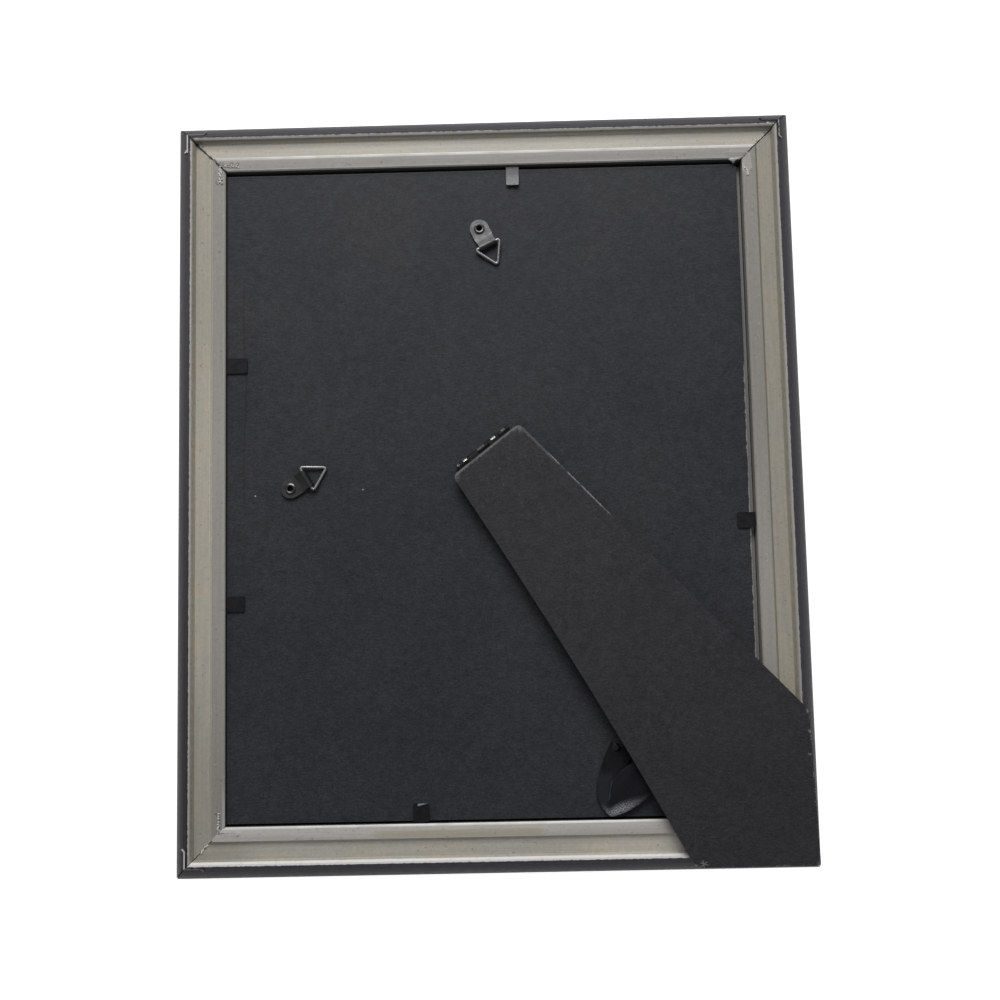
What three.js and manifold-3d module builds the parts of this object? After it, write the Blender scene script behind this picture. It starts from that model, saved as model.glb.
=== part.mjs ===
// A table and wall picture frame for a 203 x 254 mm picture, lying face down with its back up.
// Millimetres. +X is right and +Y is up as seen from behind in portrait, +Z points out of the back.
// The origin is the middle of the front rim's plane, which the frame lies on.

import * as THREE from 'three';
import { mergeVertices } from 'three/addons/utils/BufferGeometryUtils.js';
import Module from 'manifold-3d';

const wasm = await Module();
wasm.setup();

// The picture and what lies behind it
const PICTURE_WIDTH = 203.2;
const PICTURE_HEIGHT = 254;
const REBATE_PLAY = 2.3;
const GLASS_THICKNESS = 2;
const INSERT_THICKNESS = 0.4;
const BOARD_THICKNESS = 3.1;
const BOARD_CORNER = 0.5;
const BOARD_WORN_CORNER = 2;
const SEAT_GAP = 0.3;

// The moulding's section, seen from behind: u runs inward from the outer face, z up from the front rim
const BACK_WIDTH = 19.65;
const LIP_REACH = 5.5;
const SHELF_HEIGHT = 4;
const FACE_OVER_BOARD = 2.8;
const RIDGE_OVER_FACE = 1.5;
const CHANNEL_BELOW_FACE = 1.9;
const CHANNEL_RISE = 0.8;
const FACE_FALL = 0.65;
const LAND_TOP = 6.9;
const EDGE_ROUND = 1.5;
const RIM_WIDTH = 5.2;
const COVE_DEPTH = 2.7;
const BEAD_WIDTH = 3.5;
const RIDGE_OUTSIDE = 5.5;
const RIDGE_WIDTH = 1.7;
const RIDGE_CREST = 0.6;
const RIDGE_CREST_ROUND = 0.24;
const RIDGE_FALL = 1.2;
const RIDGE_FOOT = 0.5;
const CHANNEL_WIDTH = 6.4;
const STEP_WIDTH = 0.9;
const LIP_CHAMFER = 0.45;
const MITRE_GAP = 0.3;
const OUTER_CORNER_RADIUS = 1.2;
const CURVE_STEPS = 8;

// The V-nails that hold each mitre, one near the ridge and one near the lip
const NAIL_ARM = 6.4;
const NAIL_HOOK = 1;
const NAIL_THICKNESS = 0.5;
const NAIL_HEIGHT = 7;
const NAIL_PLAY = 0.15;
const NAIL_PROUD = 0.15;
const OUTER_NAIL_INSET = 4.8;
const INNER_NAIL_FROM_LIP = 2.2;

// The flexible steel points that hold the backing board in
const POINT_WIDTH = 6;
const POINT_THICKNESS = 0.4;
const POINT_REACH = 7.3;
const POINT_ROOT = 4.8;
const POINT_CLIP = 0.6;
const POINTS = [
  { name: 'top', side: 'top', along: 11.6, lift: 8, width: 5, reach: 8.4 },
  { name: 'left_upper', side: 'left', along: 49.5, lift: 1.5, width: POINT_WIDTH, reach: 8.4 },
  { name: 'left_lower', side: 'left', along: -44, lift: 0, width: POINT_WIDTH, reach: POINT_REACH },
  { name: 'right', side: 'right', along: -15.7, lift: 0, width: POINT_WIDTH, reach: POINT_REACH },
  { name: 'bottom', side: 'bottom', along: -28.4, lift: 2, width: POINT_WIDTH, reach: POINT_REACH },
];

// The two strap hangers, placed from the board's own edges and centre lines
const HANGER_WIDTH = 7.6;
const HANGER_STEEL = 0.5;
const HANGER_SHOULDER = 3.2;
const HANGER_REACH = 7.3;
const EYELET_BORE_RADIUS = 1.2;
const EYELET_WALL = 0.4;
const EYELET_FLANGE = 0.5;
const EYELET_FLANGE_THICKNESS = 0.4;
const EYELET_CLINCH = 0.7;
const RING_WIRE = 1.25;
const RING_BASE = 10.8;
const RING_HEIGHT = 9;
const RING_CORNER = 1.4;
const TOP_HANGER = { across: -1.15, inset: 24.3, turn: -64.5 };
const SIDE_HANGER = { across: 0.55, inset: 25, turn: 30 };

// The easel leg and its butt hinge; positions are from the board's centre
const HINGE_X = -1.3;
const HINGE_Y = 14.9;
const HINGE_TURN = 37.5;
const HINGE_LENGTH = 25.6;
const HINGE_LEAF = 14;
const HINGE_STEEL = 0.6;
const HINGE_PIN = 1.1;
const KNUCKLES = 5;
const KNUCKLE_GAP = 0.3;
const PRONG_LENGTH = 1.8;
const PRONG_WIDTH = 1.2;
const PRONG_SPREAD = 15;
const PRONG_SET_BACK = 9;
const LEG_THICKNESS = 3;
const LEG_TOP_WIDTH = 32.8;
const LEG_TOP_SET_BACK = 1.8;
const LEG_FOOT_INSET = 2.4;
const LEG_FOOT_WIDTH = 46.2;
const LEG_FOOT_HEIGHT = 57;
const LEG_FOOT_TAPER = 1.7;
const LEG_EDGE_SAG = 1.7;
const LEG_CORNER = 2.6;

// The ribbon that stops the leg. It starts at a place set in from the board's lower right corner, is
// folded back just above the rebate's lower wall and ends under the leg, at a place measured from the
// leg's instep corner.
const RIBBON_WIDTH = 10;
const RIBBON_THICKNESS = 0.5;
const RIBBON_TAIL = 4;
const RIBBON_BOARD_END = { fromRight: 54.9, fromBottom: 26.1 };
const RIBBON_CREASE_FROM_RIGHT = 57.1;
const RIBBON_CREASE_CLEARANCE = 1.35;
const RIBBON_LEG_END = { along: 22.7, above: 36.3 };
const RIVET_SHANK = 1.8;
const RIVET_HEAD = 3;
const RIVET_HEAD_THICKNESS = 0.7;
const RIVET_GRIP = 1.8;

// Sizes that follow from the ones above
const REBATE_WIDTH = PICTURE_WIDTH + REBATE_PLAY;
const REBATE_HEIGHT = PICTURE_HEIGHT + REBATE_PLAY;
const FRAME_WIDTH = REBATE_WIDTH + 2 * BACK_WIDTH;
const FRAME_HEIGHT = REBATE_HEIGHT + 2 * BACK_WIDTH;
const GLASS_Z = SHELF_HEIGHT + SEAT_GAP;
const INSERT_Z = GLASS_Z + GLASS_THICKNESS + SEAT_GAP;
const BOARD_Z = INSERT_Z + INSERT_THICKNESS + SEAT_GAP;
const BOARD_TOP = BOARD_Z + BOARD_THICKNESS;
const FACE_Z = BOARD_TOP + FACE_OVER_BOARD;
const RIDGE_Z = FACE_Z + RIDGE_OVER_FACE;
const CHANNEL_Z = FACE_Z - CHANNEL_BELOW_FACE;
const FACE_START = RIDGE_OUTSIDE + RIDGE_WIDTH + CHANNEL_WIDTH + STEP_WIDTH;
const POINT_Z = BOARD_TOP + SEAT_GAP;
const PLAY = SEAT_GAP;

// Glass and board have slid left and a little down in their rebate, the insert between them right
const STACK_X = SEAT_GAP - REBATE_PLAY / 2;
const STACK_Y = 0.3 * STACK_X;

const STRAP_ROLL_BORE = RING_WIRE / 2 + PLAY;
const STRAP_ROLL = STRAP_ROLL_BORE + HANGER_STEEL;
const STRAP_THICKNESS = 2 * HANGER_STEEL;
// The strap's roll fits between the ring's slanting sides, which lie closer together where the roll ends
const RING_SLANT = Math.atan2(RING_BASE / 2, RING_HEIGHT);
const STRAP_NECK_SIDE = STRAP_ROLL * Math.tan(RING_SLANT) + RING_WIRE / 2 / Math.cos(RING_SLANT) + PLAY;
const STRAP_NECK = RING_BASE - 2 * STRAP_NECK_SIDE;
const KNUCKLE_BORE = HINGE_PIN / 2 + PLAY;
const KNUCKLE_RADIUS = KNUCKLE_BORE + HINGE_STEEL * 0.6;
const HINGE_Z = BOARD_TOP + SEAT_GAP + KNUCKLE_RADIUS;

// Materials, with colours as the photograph shows them
const paintedMoulding = new THREE.MeshStandardMaterial({ color: 0x9c968b, roughness: 0.62, metalness: 0 });
const nailSteel = new THREE.MeshStandardMaterial({ color: 0xc9c6bd, roughness: 0.35, metalness: 1 });
const clearGlass = new THREE.MeshStandardMaterial({
  color: 0xdfe8e6, roughness: 0.05, metalness: 0, transparent: true, opacity: 0.35,
});
const blankPaper = new THREE.MeshStandardMaterial({ color: 0xa9a69f, roughness: 0.9, metalness: 0 });
const blackBoard = new THREE.MeshStandardMaterial({ color: 0x37383c, roughness: 0.85, metalness: 0 });
const blackLeg = new THREE.MeshStandardMaterial({ color: 0x313134, roughness: 0.8, metalness: 0 });
const blackSteel = new THREE.MeshStandardMaterial({ color: 0x1d1d20, roughness: 0.4, metalness: 0.9 });
const darkSteel = new THREE.MeshStandardMaterial({ color: 0x5a5853, roughness: 0.45, metalness: 0.9 });
const ringSteel = new THREE.MeshStandardMaterial({ color: 0x8d8a84, roughness: 0.35, metalness: 1 });
const eyeletSteel = new THREE.MeshStandardMaterial({ color: 0x77736b, roughness: 0.4, metalness: 1 });
const blackRibbon = new THREE.MeshStandardMaterial({ color: 0x1b1b20, roughness: 0.5, metalness: 0 });

const frame = new THREE.Group();

function addMesh(parent, name, geometry, material) {
  const mesh = new THREE.Mesh(geometry, material);
  mesh.name = name;
  parent.add(mesh);
  return mesh;
}

function addGroup(parent, x, y, z, turn = 0) {
  const group = new THREE.Group();
  group.position.set(x, y, z);
  group.rotation.z = THREE.MathUtils.degToRad(turn);
  parent.add(group);
  return group;
}

// Booleans

function solidFrom(geometry, matrix) {
  const source = geometry.index ? geometry.toNonIndexed() : geometry;
  const bare = new THREE.BufferGeometry();
  bare.setAttribute('position', source.getAttribute('position').clone());
  if (matrix) bare.applyMatrix4(matrix);
  const merged = mergeVertices(bare, 1e-4);
  return new wasm.Manifold(new wasm.Mesh({
    numProp: 3,
    vertProperties: merged.getAttribute('position').array,
    triVerts: new Uint32Array(merged.index.array),
  }));
}

function geometryFrom(solid) {
  const made = solid.getMesh();
  const geometry = new THREE.BufferGeometry();
  geometry.setAttribute('position', new THREE.BufferAttribute(made.vertProperties, 3));
  geometry.setIndex(new THREE.BufferAttribute(made.triVerts, 1));
  geometry.computeVertexNormals();
  return geometry;
}

// The matrix that takes something drawn in one object's space into another's
function matrixBetween(from, to) {
  from.updateWorldMatrix(true, false);
  to.updateWorldMatrix(true, false);
  return to.matrixWorld.clone().invert().multiply(from.matrixWorld);
}

// Cuts geometry, drawn in the space of seat, out of the mesh
function carve(mesh, geometry, seat = mesh) {
  const tool = solidFrom(geometry, matrixBetween(seat, mesh));
  mesh.geometry = geometryFrom(solidFrom(mesh.geometry).subtract(tool));
}

function trim(mesh, geometry, seat = mesh) {
  const tool = solidFrom(geometry, matrixBetween(seat, mesh));
  mesh.geometry = geometryFrom(solidFrom(mesh.geometry).intersect(tool));
}

function joined(...geometries) {
  return geometryFrom(geometries.map((geometry) => solidFrom(geometry)).reduce((all, one) => all.add(one)));
}

// Shapes

function plate(shape, thickness, bottom = 0) {
  const geometry = new THREE.ExtrudeGeometry(shape, {
    depth: thickness,
    bevelEnabled: false,
    curveSegments: CURVE_STEPS,
  });
  geometry.translate(0, 0, bottom);
  return geometry;
}

function box(x0, x1, y0, y1, z0, z1) {
  const geometry = new THREE.BoxGeometry(x1 - x0, y1 - y0, z1 - z0);
  geometry.translate((x0 + x1) / 2, (y0 + y1) / 2, (z0 + z1) / 2);
  return geometry;
}

// A cylinder along Z from z0 to z1
function post(radius, z0, z1, sides = 24) {
  const geometry = new THREE.CylinderGeometry(radius, radius, z1 - z0, sides);
  geometry.rotateX(Math.PI / 2);
  geometry.translate(0, 0, (z0 + z1) / 2);
  return geometry;
}

// A closed outline whose corners are [x, y, rounding]
function roundedOutline(corners) {
  const shape = new THREE.Shape();
  corners.forEach(([x, y, rounding], i) => {
    const here = new THREE.Vector2(x, y);
    const before = new THREE.Vector2(...corners.at(i - 1).slice(0, 2));
    const after = new THREE.Vector2(...corners[(i + 1) % corners.length].slice(0, 2));
    const start = here.clone().add(before.sub(here).setLength(rounding));
    const end = here.clone().add(after.sub(here).setLength(rounding));
    if (i === 0) shape.moveTo(start.x, start.y);
    else shape.lineTo(start.x, start.y);
    if (rounding > 0) shape.quadraticCurveTo(here.x, here.y, end.x, end.y);
  });
  shape.closePath();
  return shape;
}

// The outline of a bent strip: a line of points, thickened on both sides and lengthened at both ends
function stripOutline(points, halfThickness, extra = 0) {
  const line = points.map(([x, y]) => new THREE.Vector2(x, y));
  const last = line.length - 1;
  const lengthen = (end, next) => end.add(end.clone().sub(next).setLength(extra));
  if (extra > 0) {
    lengthen(line[0], line[1]);
    lengthen(line[last], line[last - 1]);
  }
  const directions = line.slice(1).map((point, i) => point.clone().sub(line[i]).normalize());
  const side = line.map((point, i) => {
    const a = directions[Math.max(i - 1, 0)];
    const b = directions[Math.min(i, last - 1)];
    const normal = new THREE.Vector2(-a.y - b.y, a.x + b.x).normalize();
    const reach = halfThickness / Math.max(normal.dot(new THREE.Vector2(-a.y, a.x)), 0.5);
    return normal.multiplyScalar(reach);
  });
  const left = line.map((point, i) => point.clone().add(side[i]));
  const right = line.map((point, i) => point.clone().sub(side[i]));
  return new THREE.Shape([...left, ...right.reverse()]);
}

// The moulding

// Height of the inner face, which falls a little towards the lip
function faceHeight(inward) {
  return FACE_Z - (FACE_FALL * (inward - FACE_START)) / (BACK_WIDTH - FACE_START);
}

function mouldingSection() {
  const sight = BACK_WIDTH + LIP_REACH;
  const bead = sight - BEAD_WIDTH;
  const ridgeInside = RIDGE_OUTSIDE + RIDGE_WIDTH;
  const channelEnd = ridgeInside + CHANNEL_WIDTH;
  const lipCorner = BACK_WIDTH - LIP_CHAMFER;
  const crestOutside = RIDGE_OUTSIDE + RIDGE_CREST_ROUND;
  const section = new THREE.Shape();
  section.moveTo(0, EDGE_ROUND);
  section.quadraticCurveTo(0, 0, EDGE_ROUND, 0);
  section.lineTo(RIM_WIDTH, 0);
  section.bezierCurveTo(
    RIM_WIDTH + 0.25 * (bead - RIM_WIDTH), COVE_DEPTH,
    RIM_WIDTH + 0.6 * (bead - RIM_WIDTH), COVE_DEPTH * 1.2,
    bead, COVE_DEPTH,
  );
  section.quadraticCurveTo(bead + BEAD_WIDTH / 2, COVE_DEPTH * 0.2, sight, COVE_DEPTH * 0.8);
  section.lineTo(sight, SHELF_HEIGHT);
  section.lineTo(BACK_WIDTH, SHELF_HEIGHT);
  section.lineTo(BACK_WIDTH, faceHeight(lipCorner) - LIP_CHAMFER);
  section.lineTo(lipCorner, faceHeight(lipCorner));
  section.lineTo(FACE_START, FACE_Z);
  section.lineTo(channelEnd, CHANNEL_Z + CHANNEL_RISE);
  section.lineTo(ridgeInside + RIDGE_FOOT, CHANNEL_Z);
  section.lineTo(ridgeInside, RIDGE_Z - RIDGE_FALL);
  section.lineTo(crestOutside + RIDGE_CREST, RIDGE_Z);
  section.lineTo(crestOutside, RIDGE_Z);
  section.quadraticCurveTo(
    RIDGE_OUTSIDE, RIDGE_Z,
    RIDGE_OUTSIDE - RIDGE_CREST_ROUND, RIDGE_Z - RIDGE_CREST_ROUND,
  );
  section.quadraticCurveTo(0.3 * RIDGE_OUTSIDE, LAND_TOP + 0.75 * (RIDGE_Z - LAND_TOP), 0, LAND_TOP);
  section.closePath();
  return section;
}

// One mitred length: X runs along it, Y inward from its outer face
function mouldingLength(length) {
  const geometry = new THREE.ExtrudeGeometry(mouldingSection(), {
    depth: 1,
    bevelEnabled: false,
    curveSegments: CURVE_STEPS,
  });
  const position = geometry.getAttribute('position');
  for (let i = 0; i < position.count; i++) {
    const inward = position.getX(i);
    const height = position.getY(i);
    const half = length / 2 - inward - MITRE_GAP / Math.SQRT2;
    position.setXYZ(i, (2 * position.getZ(i) - 1) * half, inward, height);
  }
  return geometry;
}

function addMoulding() {
  const halfWidth = FRAME_WIDTH / 2;
  const halfHeight = FRAME_HEIGHT / 2;
  const outline = plate(
    roundedOutline([
      [-halfWidth, -halfHeight, OUTER_CORNER_RADIUS],
      [halfWidth, -halfHeight, OUTER_CORNER_RADIUS],
      [halfWidth, halfHeight, OUTER_CORNER_RADIUS],
      [-halfWidth, halfHeight, OUTER_CORNER_RADIUS],
    ]),
    RIDGE_Z + 2,
    -1,
  );
  const members = {};
  for (const [side, length, x, y, turn] of [
    ['bottom', FRAME_WIDTH, 0, -halfHeight, 0],
    ['right', FRAME_HEIGHT, halfWidth, 0, 90],
    ['top', FRAME_WIDTH, 0, halfHeight, 180],
    ['left', FRAME_HEIGHT, -halfWidth, 0, -90],
  ]) {
    const member = addMesh(frame, `moulding_${side}`, mouldingLength(length), paintedMoulding);
    member.position.set(x, y, 0);
    member.rotation.z = THREE.MathUtils.degToRad(turn);
    trim(member, outline, frame);
    members[side] = member;
  }
  return members;
}

// V-nails; each corner's own frame has its sides along +X and +Y

function nailLine(inset) {
  const end = inset + NAIL_ARM;
  return [
    [end + NAIL_HOOK, inset - NAIL_HOOK],
    [end, inset],
    [inset, inset],
    [inset, end],
    [inset - NAIL_HOOK, end + NAIL_HOOK],
  ];
}

function addNails(members) {
  const corners = [
    ['bottom_left', -1, -1, 0, ['bottom', 'left']],
    ['bottom_right', 1, -1, 90, ['right', 'bottom']],
    ['top_right', 1, 1, 180, ['top', 'right']],
    ['top_left', -1, 1, 270, ['left', 'top']],
  ];
  const innerInset = BACK_WIDTH - INNER_NAIL_FROM_LIP;
  const rows = [
    ['outer', OUTER_NAIL_INSET, RIDGE_Z - NAIL_PROUD],
    ['inner', innerInset, faceHeight(innerInset) + NAIL_PROUD],
  ];
  for (const [corner, signX, signY, turn, sides] of corners) {
    const group = addGroup(frame, (signX * FRAME_WIDTH) / 2, (signY * FRAME_HEIGHT) / 2, 0, turn);
    for (const [row, inset, top] of rows) {
      const line = nailLine(inset);
      const nail = addMesh(
        group,
        `v_nail_${corner}_${row}`,
        plate(stripOutline(line, NAIL_THICKNESS / 2), NAIL_HEIGHT, top - NAIL_HEIGHT),
        nailSteel,
      );
      const slot = plate(
        stripOutline(line, NAIL_THICKNESS / 2 + NAIL_PLAY, NAIL_PLAY),
        NAIL_HEIGHT + 2,
        top - NAIL_HEIGHT - NAIL_PLAY,
      );
      for (const side of sides) carve(members[side], slot, nail);
    }
  }
}

// The flexible points; each one's own frame has +X out of the rebate wall, at the steel's underside

function addPoints(members) {
  const walls = {
    top: (along) => [along, REBATE_HEIGHT / 2, -90],
    bottom: (along) => [along, -REBATE_HEIGHT / 2, 90],
    left: (along) => [-REBATE_WIDTH / 2, along, 0],
    right: (along) => [REBATE_WIDTH / 2, along, 180],
  };
  for (const { name, side, along, lift, width, reach } of POINTS) {
    const [x, y, turn] = walls[side](along);
    const group = addGroup(frame, x, y, POINT_Z, turn);
    const half = width / 2;
    const root = addMesh(
      group,
      `flex_point_${name}_root`,
      box(-POINT_ROOT, 0, -half, half, 0, POINT_THICKNESS),
      blackSteel,
    );
    const slot = box(-POINT_ROOT - PLAY, 2, -half - PLAY, half + PLAY, -PLAY, POINT_THICKNESS + PLAY);
    carve(members[side], slot, root);
    const blade = addMesh(
      group,
      `flex_point_${name}_blade`,
      plate(
        roundedOutline([
          [0, -half, 0],
          [reach - PLAY, -half, POINT_CLIP],
          [reach - PLAY, half, POINT_CLIP],
          [0, half, 0],
        ]),
        POINT_THICKNESS,
      ),
      blackSteel,
    );
    blade.position.x = PLAY;
    blade.rotation.y = -THREE.MathUtils.degToRad(lift);
  }
}

// Glass, picture sheet and backing board, one on another in the rebate

function addSheet(name, x, bottom, thickness, material) {
  const geometry = new THREE.BoxGeometry(PICTURE_WIDTH, PICTURE_HEIGHT, thickness);
  const sheet = addMesh(frame, name, geometry, material);
  sheet.position.set(x, STACK_Y, bottom + thickness / 2);
}

function addBoard() {
  const outline = roundedOutline([
    [-PICTURE_WIDTH / 2, -PICTURE_HEIGHT / 2, BOARD_CORNER],
    [PICTURE_WIDTH / 2, -PICTURE_HEIGHT / 2, BOARD_CORNER],
    [PICTURE_WIDTH / 2, PICTURE_HEIGHT / 2, BOARD_WORN_CORNER],
    [-PICTURE_WIDTH / 2, PICTURE_HEIGHT / 2, BOARD_CORNER],
  ]);
  const board = addMesh(frame, 'backing_board', plate(outline, BOARD_THICKNESS, 0), blackBoard);
  board.position.set(STACK_X, STACK_Y, BOARD_Z);
  return board;
}

// Strap hangers; each one's own frame has the eyelet at its origin, the ring towards +X and the board
// just below

function strapGeometry() {
  const half = HANGER_WIDTH / 2;
  const side = new THREE.Shape();
  side.moveTo(-half, 0);
  side.lineTo(HANGER_REACH, 0);
  side.absarc(HANGER_REACH, STRAP_ROLL, STRAP_ROLL, -Math.PI / 2, Math.PI / 2 + 0.3, false);
  side.lineTo(HANGER_REACH / 2 + 0.4, STRAP_THICKNESS);
  side.lineTo(-half, STRAP_THICKNESS);
  side.closePath();
  const bore = new THREE.Path();
  bore.absarc(HANGER_REACH, STRAP_ROLL, STRAP_ROLL_BORE, 0, 2 * Math.PI, false);
  side.holes.push(bore);
  const folded = plate(side, HANGER_WIDTH, -half);
  folded.rotateX(Math.PI / 2);
  const end = HANGER_REACH + STRAP_ROLL + 1;
  const plan = new THREE.Shape();
  plan.moveTo(0, -half);
  plan.lineTo(HANGER_SHOULDER, -half);
  plan.lineTo(HANGER_REACH - STRAP_ROLL, -STRAP_NECK / 2);
  plan.lineTo(end, -STRAP_NECK / 2);
  plan.lineTo(end, STRAP_NECK / 2);
  plan.lineTo(HANGER_REACH - STRAP_ROLL, STRAP_NECK / 2);
  plan.lineTo(HANGER_SHOULDER, half);
  plan.lineTo(0, half);
  plan.absarc(0, 0, half, Math.PI / 2, 1.5 * Math.PI, false);
  const rounded = solidFrom(folded).intersect(solidFrom(plate(plan, 4 * STRAP_ROLL, -1)));
  const hole = solidFrom(post(EYELET_BORE_RADIUS + EYELET_WALL + PLAY, -1, STRAP_THICKNESS + 1));
  return geometryFrom(rounded.subtract(hole));
}

// A rolled eyelet through strap and board, with a flange on top and a clinched flare under the board
function eyeletGeometry() {
  const bore = EYELET_BORE_RADIUS;
  const outer = bore + EYELET_WALL;
  const seat = STRAP_THICKNESS + PLAY;
  const underside = -SEAT_GAP - BOARD_THICKNESS + EYELET_CLINCH;
  const profile = [
    [bore, underside - EYELET_FLANGE_THICKNESS - PLAY],
    [outer + EYELET_FLANGE, underside - EYELET_FLANGE_THICKNESS - PLAY],
    [outer + EYELET_FLANGE, underside - PLAY],
    [outer, underside - PLAY],
    [outer, seat],
    [outer + EYELET_FLANGE, seat],
    [outer + EYELET_FLANGE, seat + EYELET_FLANGE_THICKNESS / 2],
    [outer, seat + EYELET_FLANGE_THICKNESS],
    [bore, seat + EYELET_FLANGE_THICKNESS * 0.8],
    [bore, underside - EYELET_FLANGE_THICKNESS - PLAY],
  ];
  const geometry = new THREE.LatheGeometry(profile.map(([r, z]) => new THREE.Vector2(r, z)), 24);
  geometry.rotateX(Math.PI / 2);
  return geometry;
}

// The triangle ring, with the middle of its rolled-in side at the origin and its point towards +X
function ringGeometry() {
  const corners = [
    new THREE.Vector3(0, -RING_BASE / 2, 0),
    new THREE.Vector3(RING_HEIGHT, 0, 0),
    new THREE.Vector3(0, RING_BASE / 2, 0),
  ];
  const path = new THREE.CurvePath();
  const along = (from, to, distance) => from.clone().add(to.clone().sub(from).setLength(distance));
  corners.forEach((corner, i) => {
    const before = corners.at(i - 1);
    const after = corners[(i + 1) % corners.length];
    const start = along(corner, before, RING_CORNER);
    const end = along(corner, after, RING_CORNER);
    path.add(new THREE.QuadraticBezierCurve3(start, corner, end));
    path.add(new THREE.LineCurve3(end, along(after, corner, RING_CORNER)));
  });
  return new THREE.TubeGeometry(path, 60, RING_WIRE / 2, 10, true);
}

function addHanger(board, name, x, y, turn) {
  const group = addGroup(board, x, y, SEAT_GAP, turn);
  const eyelet = addMesh(group, `hanger_${name}_eyelet`, eyeletGeometry(), eyeletSteel);
  addMesh(group, `hanger_${name}_strap`, strapGeometry(), darkSteel);
  const ring = addMesh(group, `hanger_${name}_ring`, ringGeometry(), ringSteel);
  const drop = STRAP_ROLL - RING_WIRE / 2;
  ring.position.set(HANGER_REACH, 0, STRAP_ROLL);
  ring.rotation.y = Math.asin(drop / RING_HEIGHT);
  const outer = EYELET_BORE_RADIUS + EYELET_WALL;
  const clinch = outer + EYELET_FLANGE + PLAY;
  const bottom = -SEAT_GAP - BOARD_THICKNESS;
  carve(backingBoard, post(outer + PLAY, bottom - 1, 0), eyelet);
  carve(backingBoard, post(clinch, bottom - 1, bottom + EYELET_CLINCH), eyelet);
}

// The hinge; its own frame has X along the pin and -Y towards the leg's foot

function knuckleSpans(turn) {
  const pitch = HINGE_LENGTH / KNUCKLES;
  const spans = [];
  for (let i = turn; i < KNUCKLES; i += 2) {
    const start = i * pitch - HINGE_LENGTH / 2;
    spans.push([start + KNUCKLE_GAP / 2, start + pitch - KNUCKLE_GAP / 2]);
  }
  return spans;
}

function tubeAlongX(radius, bore, x0, x1) {
  const ring = new THREE.Shape();
  ring.absarc(0, 0, radius, 0, 2 * Math.PI, false);
  if (bore > 0) {
    const hole = new THREE.Path();
    hole.absarc(0, 0, bore, 0, 2 * Math.PI, false);
    ring.holes.push(hole);
  }
  const geometry = plate(ring, x1 - x0, x0);
  geometry.rotateX(Math.PI / 2);
  geometry.rotateZ(Math.PI / 2);
  return geometry;
}

const PRONG_PLACES = [-PRONG_SPREAD / 2, PRONG_SPREAD / 2];

// Where a leaf's prongs stand, lengthened and widened by the play of their holes
function prongs(start, end, play = 0) {
  return PRONG_PLACES.map((x) => box(
    x - PRONG_WIDTH / 2 - play, x + PRONG_WIDTH / 2 + play,
    -PRONG_SET_BACK - PRONG_WIDTH / 2 - play, -PRONG_SET_BACK + PRONG_WIDTH / 2 + play,
    start, end,
  ));
}

// A leaf is flush with the barrel's bottom (side -1) or its top (side 1)
function leafGeometry(ownTurn, side) {
  const outside = side * KNUCKLE_RADIUS;
  const inside = side * (KNUCKLE_RADIUS - HINGE_STEEL);
  const low = Math.min(outside, inside);
  const tip = outside + side * (SEAT_GAP + PRONG_LENGTH);
  const half = (HINGE_LENGTH - KNUCKLE_GAP) / 2;
  let leaf = solidFrom(box(-half, half, -HINGE_LEAF, 0, low, low + HINGE_STEEL));
  for (const [x0, x1] of knuckleSpans(ownTurn)) {
    leaf = leaf.add(solidFrom(tubeAlongX(KNUCKLE_RADIUS, 0, x0, x1)));
  }
  for (const prong of prongs(Math.min(inside, tip), Math.max(inside, tip))) {
    leaf = leaf.add(solidFrom(prong));
  }
  for (const [x0, x1] of knuckleSpans(1 - ownTurn)) {
    const notch = tubeAlongX(KNUCKLE_RADIUS + PLAY, 0, x0 - KNUCKLE_GAP, x1 + KNUCKLE_GAP);
    leaf = leaf.subtract(solidFrom(notch));
  }
  leaf = leaf.subtract(solidFrom(tubeAlongX(KNUCKLE_BORE, 0, -HINGE_LENGTH, HINGE_LENGTH)));
  return geometryFrom(leaf);
}

// A point given in the frame's own axes, in the hinge's
function inHinge(x, y) {
  const point = new THREE.Vector2(x - STACK_X - HINGE_X, y - STACK_Y - HINGE_Y);
  return point.rotateAround(new THREE.Vector2(), -THREE.MathUtils.degToRad(HINGE_TURN));
}

function legCorners() {
  const right = FRAME_WIDTH / 2 - LEG_FOOT_INSET;
  const low = -FRAME_HEIGHT / 2 + LEG_FOOT_INSET;
  return {
    heel: inHinge(right - LEG_FOOT_TAPER, low + LEG_FOOT_HEIGHT),
    toe: inHinge(right, low),
    instep: inHinge(right - LEG_FOOT_WIDTH, low),
  };
}

function legOutline() {
  const { heel, toe, instep } = legCorners();
  const topLeft = new THREE.Vector2(-LEG_TOP_WIDTH / 2, -LEG_TOP_SET_BACK);
  const topRight = new THREE.Vector2(LEG_TOP_WIDTH / 2, -LEG_TOP_SET_BACK);
  const chord = topLeft.clone().sub(instep);
  const hollow = new THREE.Vector2(chord.y, -chord.x).normalize();
  const sag = [0.15, 0.3, 0.45, 0.6, 0.75, 0.9].map((share) => {
    const depth = 4 * LEG_EDGE_SAG * share * (1 - share);
    const point = instep.clone().addScaledVector(chord, share).addScaledVector(hollow, depth);
    return [point.x, point.y, 0];
  });
  return roundedOutline([
    [topRight.x, topRight.y, LEG_CORNER],
    [topLeft.x, topLeft.y, LEG_CORNER],
    ...sag.reverse(),
    [instep.x, instep.y, LEG_CORNER / 2],
    [toe.x, toe.y, LEG_CORNER / 2],
    [heel.x, heel.y, LEG_CORNER],
  ]);
}

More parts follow.
